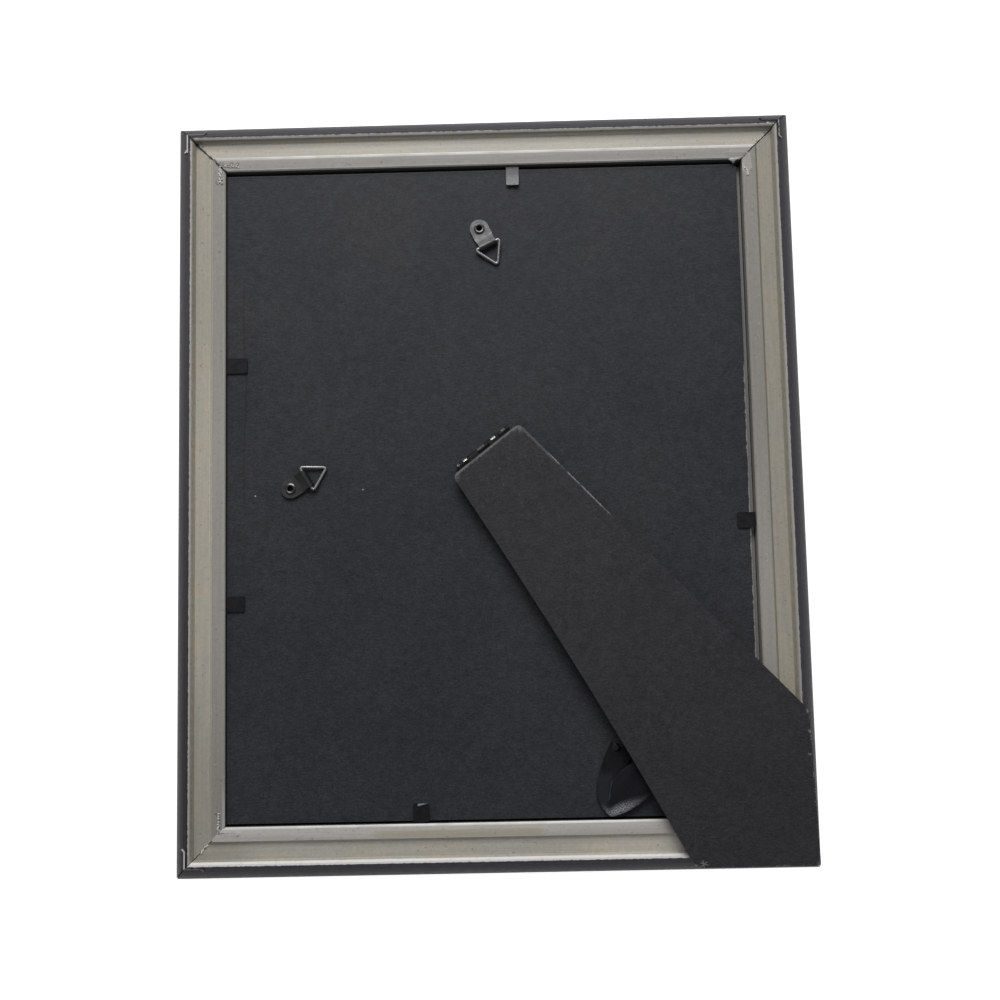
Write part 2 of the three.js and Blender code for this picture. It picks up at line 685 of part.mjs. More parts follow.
// Headed rivet along +Z, its head's underside at z = 0
function rivetGeometry(length) {
  const head = RIVET_HEAD / 2;
  const shank = RIVET_SHANK / 2;
  const profile = [
    [0, -length],
    [shank, -length],
    [shank, 0],
    [head, 0],
    [head, RIVET_HEAD_THICKNESS * 0.4],
    [head * 0.7, RIVET_HEAD_THICKNESS * 0.85],
    [0, RIVET_HEAD_THICKNESS],
  ];
  const geometry = new THREE.LatheGeometry(profile.map(([r, z]) => new THREE.Vector2(r, z)), 20);
  geometry.rotateX(Math.PI / 2);
  return geometry;
}

function addEasel(board) {
  const hinge = addGroup(board, HINGE_X, HINGE_Y, HINGE_Z - BOARD_TOP, HINGE_TURN);
  const boardLeaf = addMesh(hinge, 'hinge_board_leaf', leafGeometry(0, -1), blackSteel);
  addMesh(hinge, 'hinge_pin', tubeAlongX(HINGE_PIN / 2, 0, -HINGE_LENGTH / 2, HINGE_LENGTH / 2), blackSteel);
  const pocket = -KNUCKLE_RADIUS - SEAT_GAP - PRONG_LENGTH - PLAY;
  for (const hole of prongs(pocket, 0, PLAY)) carve(backingBoard, hole, boardLeaf);

  // The closed leg lies on the ridge of the right-hand moulding, just inside its heel
  const legSeat = KNUCKLE_RADIUS + SEAT_GAP;
  const { heel } = legCorners();
  const ridgeInner = RIDGE_OUTSIDE + 2 * RIDGE_WIDTH;
  const away = -inHinge(FRAME_WIDTH / 2 - ridgeInner, -FRAME_HEIGHT / 2 + LEG_FOOT_INSET + LEG_FOOT_HEIGHT).y;
  const tilt = Math.atan2(RIDGE_Z + SEAT_GAP - HINGE_Z - legSeat, Math.min(away, -heel.y));
  const legGroup = new THREE.Group();
  legGroup.rotation.x = -tilt;
  hinge.add(legGroup);

  const leg = addMesh(legGroup, 'easel_leg', plate(legOutline(), LEG_THICKNESS, legSeat), blackLeg);
  const legLeaf = addMesh(legGroup, 'hinge_leg_leaf', leafGeometry(1, 1), blackSteel);
  for (const hole of prongs(0, legSeat + PRONG_LENGTH + PLAY, PLAY)) carve(leg, hole, legLeaf);
  addRibbon(hinge, legGroup, leg, legSeat, tilt);
}

// A flat strip in the XY plane from the origin towards +X
function ribbonRun(length, tail) {
  const half = RIBBON_WIDTH / 2;
  return plate(new THREE.Shape([
    new THREE.Vector2(-tail, -half),
    new THREE.Vector2(length, -half),
    new THREE.Vector2(length, half),
    new THREE.Vector2(-tail, half),
  ]), RIBBON_THICKNESS);
}

// The ribbon starts under a rivet on the board, folds beyond the leg's edge and comes back under the leg
function addRibbon(hinge, legGroup, leg, legSeat, tilt) {
  const boardRight = STACK_X + PICTURE_WIDTH / 2;
  const boardBottom = STACK_Y - PICTURE_HEIGHT / 2;
  const creaseY = -REBATE_HEIGHT / 2 + RIBBON_CREASE_CLEARANCE + 0.55 * RIBBON_WIDTH;
  const boardEnd = inHinge(
    boardRight - RIBBON_BOARD_END.fromRight,
    boardBottom + RIBBON_BOARD_END.fromBottom,
  );
  const creaseEnd = inHinge(boardRight - RIBBON_CREASE_FROM_RIGHT, creaseY);
  const legEnd = legCorners().instep.add(new THREE.Vector2(RIBBON_LEG_END.along, RIBBON_LEG_END.above));

  const low = BOARD_TOP - HINGE_Z + SEAT_GAP;
  const underLeg = legSeat / Math.cos(tilt) - legEnd.y * Math.tan(tilt);
  const rise = underLeg - SEAT_GAP - RIBBON_THICKNESS - low;
  const run = legEnd.distanceTo(creaseEnd);
  const high = low + (rise * run) / (run + RIBBON_TAIL + RIBBON_WIDTH * 0.1);
  const onBoard = new THREE.Vector3(boardEnd.x, boardEnd.y, low);
  const crease = new THREE.Vector3(creaseEnd.x, creaseEnd.y, low);
  const onLeg = new THREE.Vector3(legEnd.x, legEnd.y, high);

  const first = crease.clone().sub(onBoard);
  const second = crease.clone().sub(onLeg);
  const lower = ribbonRun(first.length() + RIBBON_WIDTH * 0.25, RIBBON_TAIL);
  lower.rotateZ(Math.atan2(first.y, first.x));
  lower.translate(onBoard.x, onBoard.y, onBoard.z);
  const upper = ribbonRun(second.length() + RIBBON_WIDTH * 0.25, RIBBON_TAIL);
  upper.rotateY(-Math.atan2(second.z, Math.hypot(second.x, second.y)));
  upper.rotateZ(Math.atan2(second.y, second.x));
  upper.translate(onLeg.x, onLeg.y, onLeg.z);
  const ribbon = addMesh(hinge, 'ribbon_stay', joined(lower, upper), blackRibbon);

  const grip = RIBBON_THICKNESS + 2 * PLAY + underLeg - SEAT_GAP - RIBBON_THICKNESS - high + RIVET_GRIP;
  const boardRivet = addMesh(hinge, 'ribbon_board_rivet', rivetGeometry(grip), nailSteel);
  boardRivet.position.set(onBoard.x, onBoard.y, low + RIBBON_THICKNESS + PLAY);
  const legRivet = addMesh(hinge, 'ribbon_leg_rivet', rivetGeometry(grip), nailSteel);
  legRivet.position.set(onLeg.x, onLeg.y, high - PLAY);
  legRivet.rotation.x = Math.PI;
  const hole = post(RIVET_SHANK / 2 + PLAY, -grip - PLAY, 0);
  carve(ribbon, hole, boardRivet);
  carve(backingBoard, hole, boardRivet);
  carve(ribbon, hole, legRivet);
  carve(leg, hole, legRivet);
  legGroup.attach(legRivet);
}

const members = addMoulding();
addNails(members);
addPoints(members);
addSheet('glazing_sheet', STACK_X, GLASS_Z, GLASS_THICKNESS, clearGlass);
addSheet('insert_sheet', -STACK_X, INSERT_Z, INSERT_THICKNESS, blankPaper);
const backingBoard = addBoard();
const boardFace = addGroup(frame, STACK_X, STACK_Y, BOARD_TOP);
addHanger(boardFace, 'top', TOP_HANGER.across, PICTURE_HEIGHT / 2 - TOP_HANGER.inset, TOP_HANGER.turn);
addHanger(boardFace, 'side', SIDE_HANGER.inset - PICTURE_WIDTH / 2, SIDE_HANGER.across, SIDE_HANGER.turn);
addEasel(boardFace);

export default frame;
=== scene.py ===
import math
import random

import bmesh
import bpy
from mathutils import Matrix, Vector


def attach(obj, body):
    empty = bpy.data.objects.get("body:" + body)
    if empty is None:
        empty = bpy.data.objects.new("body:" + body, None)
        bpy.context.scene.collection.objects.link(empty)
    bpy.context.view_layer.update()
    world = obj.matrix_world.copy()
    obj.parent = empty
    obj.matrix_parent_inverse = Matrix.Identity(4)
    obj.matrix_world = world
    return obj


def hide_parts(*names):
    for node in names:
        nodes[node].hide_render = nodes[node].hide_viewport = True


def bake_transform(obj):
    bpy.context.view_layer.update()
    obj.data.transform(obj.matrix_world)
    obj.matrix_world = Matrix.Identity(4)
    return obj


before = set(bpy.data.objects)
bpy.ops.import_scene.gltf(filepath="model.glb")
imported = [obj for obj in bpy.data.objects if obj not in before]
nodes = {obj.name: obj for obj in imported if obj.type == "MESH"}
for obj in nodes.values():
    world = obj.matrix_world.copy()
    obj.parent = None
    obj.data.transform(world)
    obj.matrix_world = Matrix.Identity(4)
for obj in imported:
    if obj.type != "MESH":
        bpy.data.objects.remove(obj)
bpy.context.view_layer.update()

MM = 0.001

# Sizes of the frame that the materials and the ribbon are placed by, in metres
HALF_WIDTH = 0.1224
HALF_HEIGHT = 0.1478
SHELF = 0.004
BOARD_TOP = 0.0104
RIDGE_OUTSIDE = 0.0055
RIDGE_INSIDE = 0.0072
CHANNEL_END = 0.0136
FACE_START = 0.0145
FACE_HEIGHT = 0.0132
LIP = 0.01965
LIP_HEIGHT = 0.01255
HINGE = Vector((-0.00215, 0.014645, 0.01191))
HINGE_ALONG = Vector((0.79335, 0.60876, 0))
LEG_TOP_LEFT = (-0.01407, 0.00324)
LEG_TOP_RIGHT = (0.01196, 0.02321)
LEG_RUBBED = (0.02466, 0.00975)
LEG_HEEL = (0.1183, -0.0884)
LEG_TOE = (0.12, -0.1454)
LEG_INSTEP = (0.0738, -0.1454)

# From a strap hanger's eyelet to the strap's rolled end
ROLL_START = 0.0072

# Points of a node's facets nearer than this are one point
WELD_DISTANCE = 2e-6

# The camera, solved from the frame's corners: nearly straight above, a little below the middle
CAMERA_PLACE = Vector((0.0104, -0.0597, 0.5127))
CAMERA_LOOK = Vector((-0.0128307, 0.10673575, -0.99420463))
CAMERA_UP = Vector((0.02268058, 0.99406174, 0.10642771))
CAMERA_LENS = 46.8

# Nearly all of a noise texture's values lie between these
NOISE_RANGE = (0.3, 0.7)


def add_camera():
    data = bpy.data.cameras.new("camera")
    data.sensor_width = 36
    data.lens = CAMERA_LENS
    data.clip_start = 0.01
    camera = add_object("camera", data)
    look = CAMERA_LOOK.normalized()
    right = look.cross(CAMERA_UP.normalized()).normalized()
    up = right.cross(look)
    turn = Matrix((right, up, -look)).transposed()
    camera.matrix_world = Matrix.Translation(CAMERA_PLACE) @ turn.to_4x4()
    bpy.context.scene.camera = camera


# Shader nodes


class Shader:
    """One material and short ways to add nodes to it."""

    def __init__(self, name):
        self.material = bpy.data.materials.new(name)
        self.material.use_nodes = True
        self.tree = self.material.node_tree
        self.surface = self.tree.nodes["Principled BSDF"]

    def node(self, kind, **settings):
        made = self.tree.nodes.new(kind)
        for key, value in settings.items():
            setattr(made, key, value)
        return made

    def feed(self, socket, value):
        if isinstance(value, bpy.types.NodeSocket):
            self.tree.links.new(value, socket)
        elif isinstance(value, tuple) and len(value) == 3 and len(socket.default_value) == 4:
            socket.default_value = (*value, 1)
        else:
            socket.default_value = value

    def place(self):
        """The point's place in the frame's own axes, in metres."""
        return self.node("ShaderNodeTexCoord").outputs["Object"]

    def split(self, vector):
        made = self.node("ShaderNodeSeparateXYZ")
        self.feed(made.inputs[0], vector)
        return made.outputs[0], made.outputs[1], made.outputs[2]

    def math(self, operation, a, b=0.0):
        made = self.node("ShaderNodeMath", operation=operation)
        self.feed(made.inputs[0], a)
        self.feed(made.inputs[1], b)
        return made.outputs[0]

    def chain(self, operation, total, *values):
        """The operation on total and the first value, then on what comes of it and the next."""
        for value in values:
            total = self.math(operation, total, value)
        return total

    def times(self, *values):
        return self.chain("MULTIPLY", *values)

    def plus(self, *values):
        return self.chain("ADD", *values)

    def larger(self, *values):
        return self.chain("MAXIMUM", *values)

    def minus(self, a, b):
        return self.math("SUBTRACT", a, b)

    def rest(self, share):
        """What is left of 1."""
        return self.minus(1.0, share)

    def absolute(self, value):
        return self.math("ABSOLUTE", value)

    def stretch(self, vector, scale):
        made = self.node("ShaderNodeVectorMath", operation="MULTIPLY")
        self.feed(made.inputs[0], vector)
        made.inputs[1].default_value = scale
        return made.outputs[0]

    def noise(self, vector, scale, detail, roughness, distortion=0.0):
        made = self.node("ShaderNodeTexNoise")
        self.feed(made.inputs["Vector"], vector)
        settings = {"Scale": scale, "Detail": detail, "Roughness": roughness, "Distortion": distortion}
        for key, value in settings.items():
            made.inputs[key].default_value = value
        return made.outputs[0]

    def ease(self, value, start, end, low=0.0, high=1.0):
        """low before start, high after end, and smooth between them."""
        made = self.node("ShaderNodeMapRange", interpolation_type="SMOOTHSTEP")
        if start > end:
            start, end, low, high = end, start, high, low
        self.feed(made.inputs[0], value)
        for socket, number in zip(made.inputs[1:5], (start, end, low, high)):
            socket.default_value = number
        return made.outputs[0]

    def fade(self, share, low, high):
        """low where share is 0, high where it is 1, and smooth between them."""
        return self.ease(share, 0.0, 1.0, low, high)

    def spread(self, noise, low=0.0, high=1.0):
        """low and high over the range that a noise texture has."""
        return self.ease(noise, *NOISE_RANGE, low, high)

    def sided(self, coordinate, below=0.0, above=1.0):
        """below on the negative side of the frame's middle, above on the positive side."""
        return self.ease(coordinate, -10 * MM, 10 * MM, below, above)

    def between(self, share, low, high):
        """From low, where share is 0, to high, where it is 1."""
        made = self.node("ShaderNodeMix", data_type="FLOAT")
        for socket, value in zip((made.inputs[0], made.inputs[2], made.inputs[3]), (share, low, high)):
            self.feed(socket, value)
        return made.outputs[0]

    def band(self, value, start, end, soft):
        """1 between start and end, fading out over soft on either side."""
        rising = self.ease(value, start - soft, start)
        falling = self.ease(value, end, end + soft, 1.0, 0.0)
        return self.times(rising, falling)

    def mix(self, share, a, b):
        made = self.node("ShaderNodeMix", data_type="RGBA")
        self.feed(made.inputs[0], share)
        self.feed(made.inputs[6], a)
        self.feed(made.inputs[7], b)
        return made.outputs[2]

    def shade(self, colour, factor):
        """colour times a grey factor."""
        grey = self.node("ShaderNodeCombineColor")
        for socket in grey.inputs[:3]:
            self.feed(socket, factor)
        made = self.node("ShaderNodeMix", data_type="RGBA", blend_type="MULTIPLY")
        made.inputs[0].default_value = 1.0
        self.feed(made.inputs[6], colour)
        self.feed(made.inputs[7], grey.outputs[0])
        return made.outputs[2]

    def vary(self, colour, noise, low, high):
        """colour times low to high, as the noise goes."""
        return self.shade(colour, self.spread(noise, low, high))

    def tone(self, colour, share, factor):
        """colour times factor where share is 1, and unchanged where it is 0."""
        return self.shade(colour, self.fade(share, 1.0, factor))

    def cover(self, colour, share, density, other):
        """colour with another laid over it, as densely as it says, where share is 1."""
        return self.mix(self.times(share, density), colour, other)

    def from_edges(self, x, y):
        """How far in from the frame's side, from its end, and from the nearer of the two."""
        from_side = self.minus(HALF_WIDTH, self.absolute(x))
        from_end = self.minus(HALF_HEIGHT, self.absolute(y))
        return from_side, from_end, self.math("MINIMUM", from_side, from_end)

    def spot(self, x, y, at, radius, soft):
        """1 within radius of a point of the back, seen from above."""
        dx = self.minus(x, at[0])
        dy = self.minus(y, at[1])
        squares = self.plus(self.times(dx, dx), self.times(dy, dy))
        return self.ease(self.math("SQRT", squares), radius + soft, radius)

    def beside(self, x, y, start, end):
        """Distance from the line through two points of the back, positive to its left."""
        along = Vector(end) - Vector(start)
        along.normalize()
        offset = along.y * start[0] - along.x * start[1]
        turned = self.minus(self.times(y, along.x), self.times(x, along.y))
        return self.plus(turned, offset)

    def bump(self, height, distance, strength, normal=None):
        made = self.node("ShaderNodeBump")
        made.inputs["Strength"].default_value = strength
        made.inputs["Distance"].default_value = distance
        self.feed(made.inputs["Height"], height)
        if normal is not None:
            self.feed(made.inputs["Normal"], normal)
        return made.outputs[0]

    def finish(self, colour, roughness, normal=None, **uniform):
        self.feed(self.surface.inputs["Base Color"], colour)
        self.feed(self.surface.inputs["Roughness"], roughness)
        if normal is not None:
            self.feed(self.surface.inputs["Normal"], normal)
        for key, value in uniform.items():
            self.surface.inputs[key.replace("_", " ")].default_value = value
        return self.material


class MouldingShader(Shader):
    """Bare beige back with a greyer inner face; black paint on shoulder, sides and front.

    Two lengths share each material. far is 1 on the top or right one, and 0 on the bottom or left one.
    """

    def __init__(self, name, lengthways):
        super().__init__(name)
        self.level = lengthways == "x"
        self.point = self.place()
        self.x, self.y, self.z = self.split(self.point)
        self.from_side, self.from_end, self.inward = self.from_edges(self.x, self.y)
        self.far = self.sided(self.y if self.level else self.x)
        streak_scale = (40, 1400, 1400) if self.level else (1400, 40, 1400)
        self.streaks = self.noise(self.stretch(self.point, streak_scale), 1.0, 4.0, 0.6)
        self.clouds = self.noise(self.point, 75.0, 3.0, 0.55)
        self.mottle = self.noise(self.point, 620.0, 5.0, 0.65, 0.4)
        self.grain = self.noise(self.point, 3200.0, 3.0, 0.7)

        # How far the wear on the ridge and the paint's edge lie from the ridge's own place
        if self.level:
            self.worn_out = self.between(self.far, 0.1 * MM, 0.3 * MM)
            self.unpainted = self.between(self.far, 0.65 * MM, -0.05 * MM)
        else:
            self.worn_out = 0.5 * MM
            self.unpainted = self.between(self.far, 0.12 * MM, 0.45 * MM)

    def level_tones(self):
        """Beige and grey of the top and bottom lengths, which change along and across each."""
        beige = self.mix(self.ease(self.clouds, 0.38, 0.62), (0.37, 0.345, 0.298), (0.35, 0.34, 0.308))
        # Along the bottom the tone changes with x, and beside the step its channel carries painted shade
        bottom = self.times(
            self.ease(self.x, -105 * MM, -85 * MM, 1.24, 1.54),
            self.ease(self.x, 20 * MM, 50 * MM, 1.0, 1.14),
            self.ease(self.inward, 11.4 * MM, CHANNEL_END, 1.0, 0.84),
        )
        # The top is lighter in its middle, and just behind its ridge its channel carries painted light,
        # lifting the ridge's shadow
        top = self.times(
            self.between(self.band(self.x, -50 * MM, 50 * MM, 50 * MM), 1.24, 1.34),
            self.between(self.band(self.inward, 7.0 * MM, 7.8 * MM, 0.5 * MM), 1.0, 1.5),
        )
        beige = self.shade(beige, self.between(self.far, bottom, top))
        grey = self.mix(self.ease(self.mottle, 0.35, 0.7), (0.335, 0.322, 0.3), (0.285, 0.275, 0.262))
        bottom = self.ease(self.inward, FACE_START, 18.5 * MM, 1.46, 1.84)
        # The top's inner face carries painted light next to the step, widening the step's painted highlight
        top = self.ease(self.inward, FACE_START, 17.2 * MM, 1.42, 1.19)
        grey = self.shade(grey, self.between(self.far, bottom, top))
        return beige, grey

    def upright_tones(self):
        """Beige and grey of the left and right lengths, which change along each."""
        middle = self.band(self.y, -45 * MM, 10 * MM, 75 * MM)
        beige = self.mix(self.ease(self.clouds, 0.38, 0.62), (0.378, 0.346, 0.286), (0.358, 0.34, 0.294))
        left = self.between(middle, 1.1, 1.36)
        right = self.ease(self.y, 100 * MM, -80 * MM, 1.0, 1.17)
        beige = self.shade(beige, self.between(self.far, left, right))
        grey = self.mix(self.ease(self.mottle, 0.35, 0.7), (0.338, 0.321, 0.291), (0.288, 0.274, 0.253))
        left = self.between(middle, 0.96, 1.15)
        right = self.ease(self.y, 40 * MM, -45 * MM, 0.9, 1.2)
        grey = self.shade(grey, self.between(self.far, left, right))
        return beige, grey

    def wood(self):
        """The bare back as new, with a yellowish stain on the bottom's inner face."""
        beige, grey = self.level_tones() if self.level else self.upright_tones()
        on_face = self.ease(self.inward, CHANNEL_END + 0.7 * MM, CHANNEL_END + 1.1 * MM)
        bare = self.mix(on_face, beige, grey)
        bare = self.vary(bare, self.streaks, 0.94, 1.05)
        bare = self.vary(bare, self.mottle, 0.95, 1.05)
        bare = self.vary(bare, self.grain, 0.92, 1.07)
        stain = self.times(
            self.band(self.inward, 15.2 * MM, 17 * MM, 0.8 * MM),
            self.band(self.x, -42 * MM, 14 * MM, 7 * MM),
            self.ease(self.y, -125 * MM, -130 * MM),
        )
        return self.cover(bare, stain, 0.45, (0.38, 0.32, 0.18))

    def add_foot_line_and_specks(self, bare):
        """A broken darker line at the foot of the ridge, and dark and pale specks all over."""
        depth = self.between(self.far, 0.15, 0.05) if self.level else 0.3
        foot = self.plus(self.inward, self.worn_out)
        foot = self.band(foot, RIDGE_INSIDE + 0.1 * MM, RIDGE_INSIDE + 0.6 * MM, 0.4 * MM)
        foot = self.times(foot, self.ease(self.mottle, 0.3, 0.6, 1.0, 0.5))
        bare = self.shade(bare, self.rest(self.times(foot, depth)))
        specks = self.ease(self.noise(self.point, 900.0, 2.0, 0.4), 0.68, 0.74)
        bare = self.tone(bare, specks, 0.68)
        flecks = self.ease(self.noise(self.point, 1250.0, 2.0, 0.4), 0.7, 0.76)
        return self.cover(bare, flecks, 0.45, (0.66, 0.65, 0.63))

    def add_mitre_dirt(self, bare):
        """Dirt fills the mitres, most at the top and the left, and the lower two are chipped.

        Smudges lie around the upper nails. The second result is where the mitres' dirt is.
        """
        across = self.absolute(self.minus(self.from_side, self.from_end))
        ragged = self.plus(across, self.ease(self.mottle, 0.25, 0.75, -0.45 * MM, 0.45 * MM))
        ragged = self.minus(ragged, self.sided(self.x, 0.25 * MM, 0.0))
        mitre = self.times(self.ease(ragged, 0.55 * MM, 0.25 * MM), self.sided(self.y, 0.1, 1.0))
        bare = self.tone(bare, mitre, 0.3)
        smudges = [
            self.spot(self.x, self.y, (x * MM, y * MM), radius * MM, soft * MM)
            for x, y, radius, soft in (
                (-113.3, 139.6, 0.9, 1.8),
                (-104.3, 130.9, 0.5, 1.4),
                (-100.2, 130.6, 0.5, 1.4),
                (-105.6, 124.0, 0.5, 1.4),
                (113.0, 138.9, 0.4, 1.6),
            )
        ]
        dirt = self.ease(self.noise(self.point, 1500.0, 3.0, 0.6), 0.5, 0.58)
        bare = self.tone(bare, self.times(self.larger(*smudges), dirt), 0.35)
        chips = self.times(
            self.ease(self.mottle, 0.56, 0.66),
            self.sided(self.y, 1.0, 0.0),
            self.ease(across, 0.9 * MM, 0.4 * MM),
        )
        return self.cover(bare, chips, 0.7, (0.62, 0.61, 0.58)), mitre

    def rub(self, bare, mitre):
        """The ridge's slope is rubbed pale, and on the bottom length it also carries a painted highlight; the
        lip carries a painted highlight, strongest along the bottom, and so does the channel's edge at the
        top.
        """
        ridge = self.plus(self.inward, self.worn_out)
        ridge = self.band(ridge, RIDGE_OUTSIDE, RIDGE_INSIDE - 0.1 * MM, 0.2 * MM)
        ridge = self.times(ridge, self.ease(self.mottle, 0.25, 0.5, 0.6, 0.95))
        # Painted highlight on the lip, strongest along the bottom where it faces the light
        lip = self.times(
            self.ease(self.inward, 18.6 * MM, 19.0 * MM),
            self.ease(self.clouds, 0.4, 0.6, 0.6, 1.0),
            self.ease(self.y, -110 * MM, -120 * MM, 0.2, 1.0),
        )
        rubbed = self.larger(ridge, lip)
        if self.level:
            # Painted highlight on the top's step, where it faces the light
            step = self.times(
                self.band(self.inward, CHANNEL_END + 0.6 * MM, CHANNEL_END + 1.35 * MM, 0.45 * MM),
                self.ease(self.clouds, 0.35, 0.6, 0.6, 0.95),
                self.ease(self.x, -108 * MM, -70 * MM, 0.45, 1.0),
                self.far,
            )
            rubbed = self.larger(rubbed, step)
            # The bottom's pale is brighter than the top's, as painted highlight where its ridge faces the
            # light
            pale = self.mix(self.far, (0.97, 0.965, 0.94), (0.84, 0.83, 0.8))
        else:
            # The channel's edge is a dark line at the right, and at the left it carries painted light that
            # lifts the shade on the step
            step = self.band(self.inward, CHANNEL_END, CHANNEL_END + 0.3 * MM, 0.3 * MM)
            bare = self.tone(bare, self.times(step, self.far), 0.78)
            step = self.band(self.inward, CHANNEL_END, CHANNEL_END + 0.9 * MM, 0.3 * MM)
            bare = self.tone(bare, self.times(step, self.rest(self.far)), 1.3)
            pale = self.mix(self.far, (0.56, 0.545, 0.52), (0.42, 0.41, 0.388))
        rubbed = self.times(rubbed, self.ease(mitre, 0.0, 0.5, 1.0, 0.2))
        return self.mix(rubbed, bare, pale)

    def shadow(self, bare):
        """Painted shade on the steep side of the top's ridge and on the channel's edge below it, and on the
        rebate's walls, but for the right one.
        """
        if self.level:
            # Painted shade on the slope behind the top's ridge and on the channel's edge below it
            slope = self.times(
                self.ease(self.inward, 6.75 * MM, 7.1 * MM, 1.0, 0.38),
                self.ease(self.inward, RIDGE_INSIDE, 8.05 * MM, 1.0, 2.9),
                self.ease(self.inward, 8.8 * MM, 9.8 * MM, 1.0, 0.91),
            )
            bare = self.shade(bare, self.between(self.far, 1.0, slope))
        # Painted shade on the rebate's walls
        wall = self.times(
            self.ease(self.inward, LIP - 0.2 * MM, LIP - 0.05 * MM),
            self.ease(self.z, 12.2 * MM, 11.9 * MM),
        )
        if not self.level:
            wall = self.times(wall, self.ease(self.x, 99.5 * MM, 99 * MM))
        return self.mix(wall, bare, (0.1, 0.1, 0.102))

    def paint(self):
        """Scuffed black paint, with painted shade towards the outer edge, where the shoulder curves away, and
        towards the bottom of the left length.
        """
        paint = self.mix(self.spread(self.mottle), (0.035, 0.034, 0.0395), (0.046, 0.0445, 0.051))
        scuffs = self.times(self.ease(self.grain, 0.66, 0.74), self.ease(self.clouds, 0.5, 0.7))
        paint = self.cover(paint, scuffs, 0.5, (0.16, 0.155, 0.155))
        # Painted shade towards the outer edge, where the shoulder curves away from the light
        paint = self.shade(paint, self.ease(self.inward, -1.0 * MM, 5.0 * MM, 0.3, 1.2))
        if self.level:
            # More painted shade at the outer edge of the bottom length, and a little at the top
            bottom = self.ease(self.inward, 0.2 * MM, 4.6 * MM, 0.05, 1.64)
            top = self.ease(self.inward, 0.0, 2.0 * MM, 0.82, 1.12)
            return self.shade(paint, self.between(self.far, bottom, top))
        paint = self.shade(paint, self.ease(self.inward, 0.0, 4.0 * MM, 0.28, 1.33))
        # Painted shade towards the bottom of the left length
        left = self.ease(self.y, -150 * MM, 130 * MM, 0.58, 1.02)
        return self.shade(paint, self.between(self.far, left, 0.95))

    def painted(self):
        """1 where there is paint: out from an edge that wanders along the ridge, and below the shelf."""
        edge = self.plus(self.inward, self.fade(self.mottle, -0.25 * MM, 0.25 * MM), self.unpainted)
        shoulder = self.ease(edge, RIDGE_OUTSIDE + 0.82 * MM, RIDGE_OUTSIDE + 0.62 * MM)
        front = self.ease(self.z, SHELF - 0.05 * MM, SHELF - 0.12 * MM)
        return self.larger(shoulder, front)


def moulding_material(name, lengthways):
    s = MouldingShader(name, lengthways)
    bare, mitre = s.add_mitre_dirt(s.add_foot_line_and_specks(s.wood()))
    bare = s.shadow(s.rub(bare, mitre))
    painted = s.painted()
    colour = s.mix(painted, bare, s.paint())
    roughness = s.plus(s.fade(painted, 0.6, 0.5), s.spread(s.mottle, -0.05, 0.06))
    s.feed(s.surface.inputs["Specular IOR Level"], s.fade(painted, 0.4, 0.15))
    height = s.plus(s.times(s.streaks, 0.3), s.times(s.grain, 0.35))
    normal = s.bump(height, 0.06 * MM, 0.6)
    normal = s.bump(s.mottle, 0.12 * MM, 0.35, normal)
    return s.finish(colour, roughness, normal)


def paper(s, place, cloud_scale, dark, pale, fibre_range):
    """Black paper-faced board: its colour, its bumps, and the four noises that these are made of."""
    tooth = s.noise(place, 1900.0, 4.0, 0.7)
    fibres = s.noise(s.stretch(place, (500, 1500, 500)), 1.0, 4.0, 0.65, 1.0)
    lumps = s.noise(place, 330.0, 3.0, 0.55)
    clouds = s.noise(place, cloud_scale, 4.0, 0.6)
    colour = s.mix(s.spread(clouds), dark, pale)
    colour = s.vary(colour, tooth, 0.72, 1.3)
    colour = s.vary(colour, fibres, *fibre_range)
    colour = s.vary(colour, lumps, 0.91, 1.1)
    height = s.plus(s.times(tooth, 0.5), s.times(fibres, 0.5))
    normal = s.bump(height, 0.07 * MM, 0.75)
    return colour, normal, (tooth, fibres, lumps, clouds)


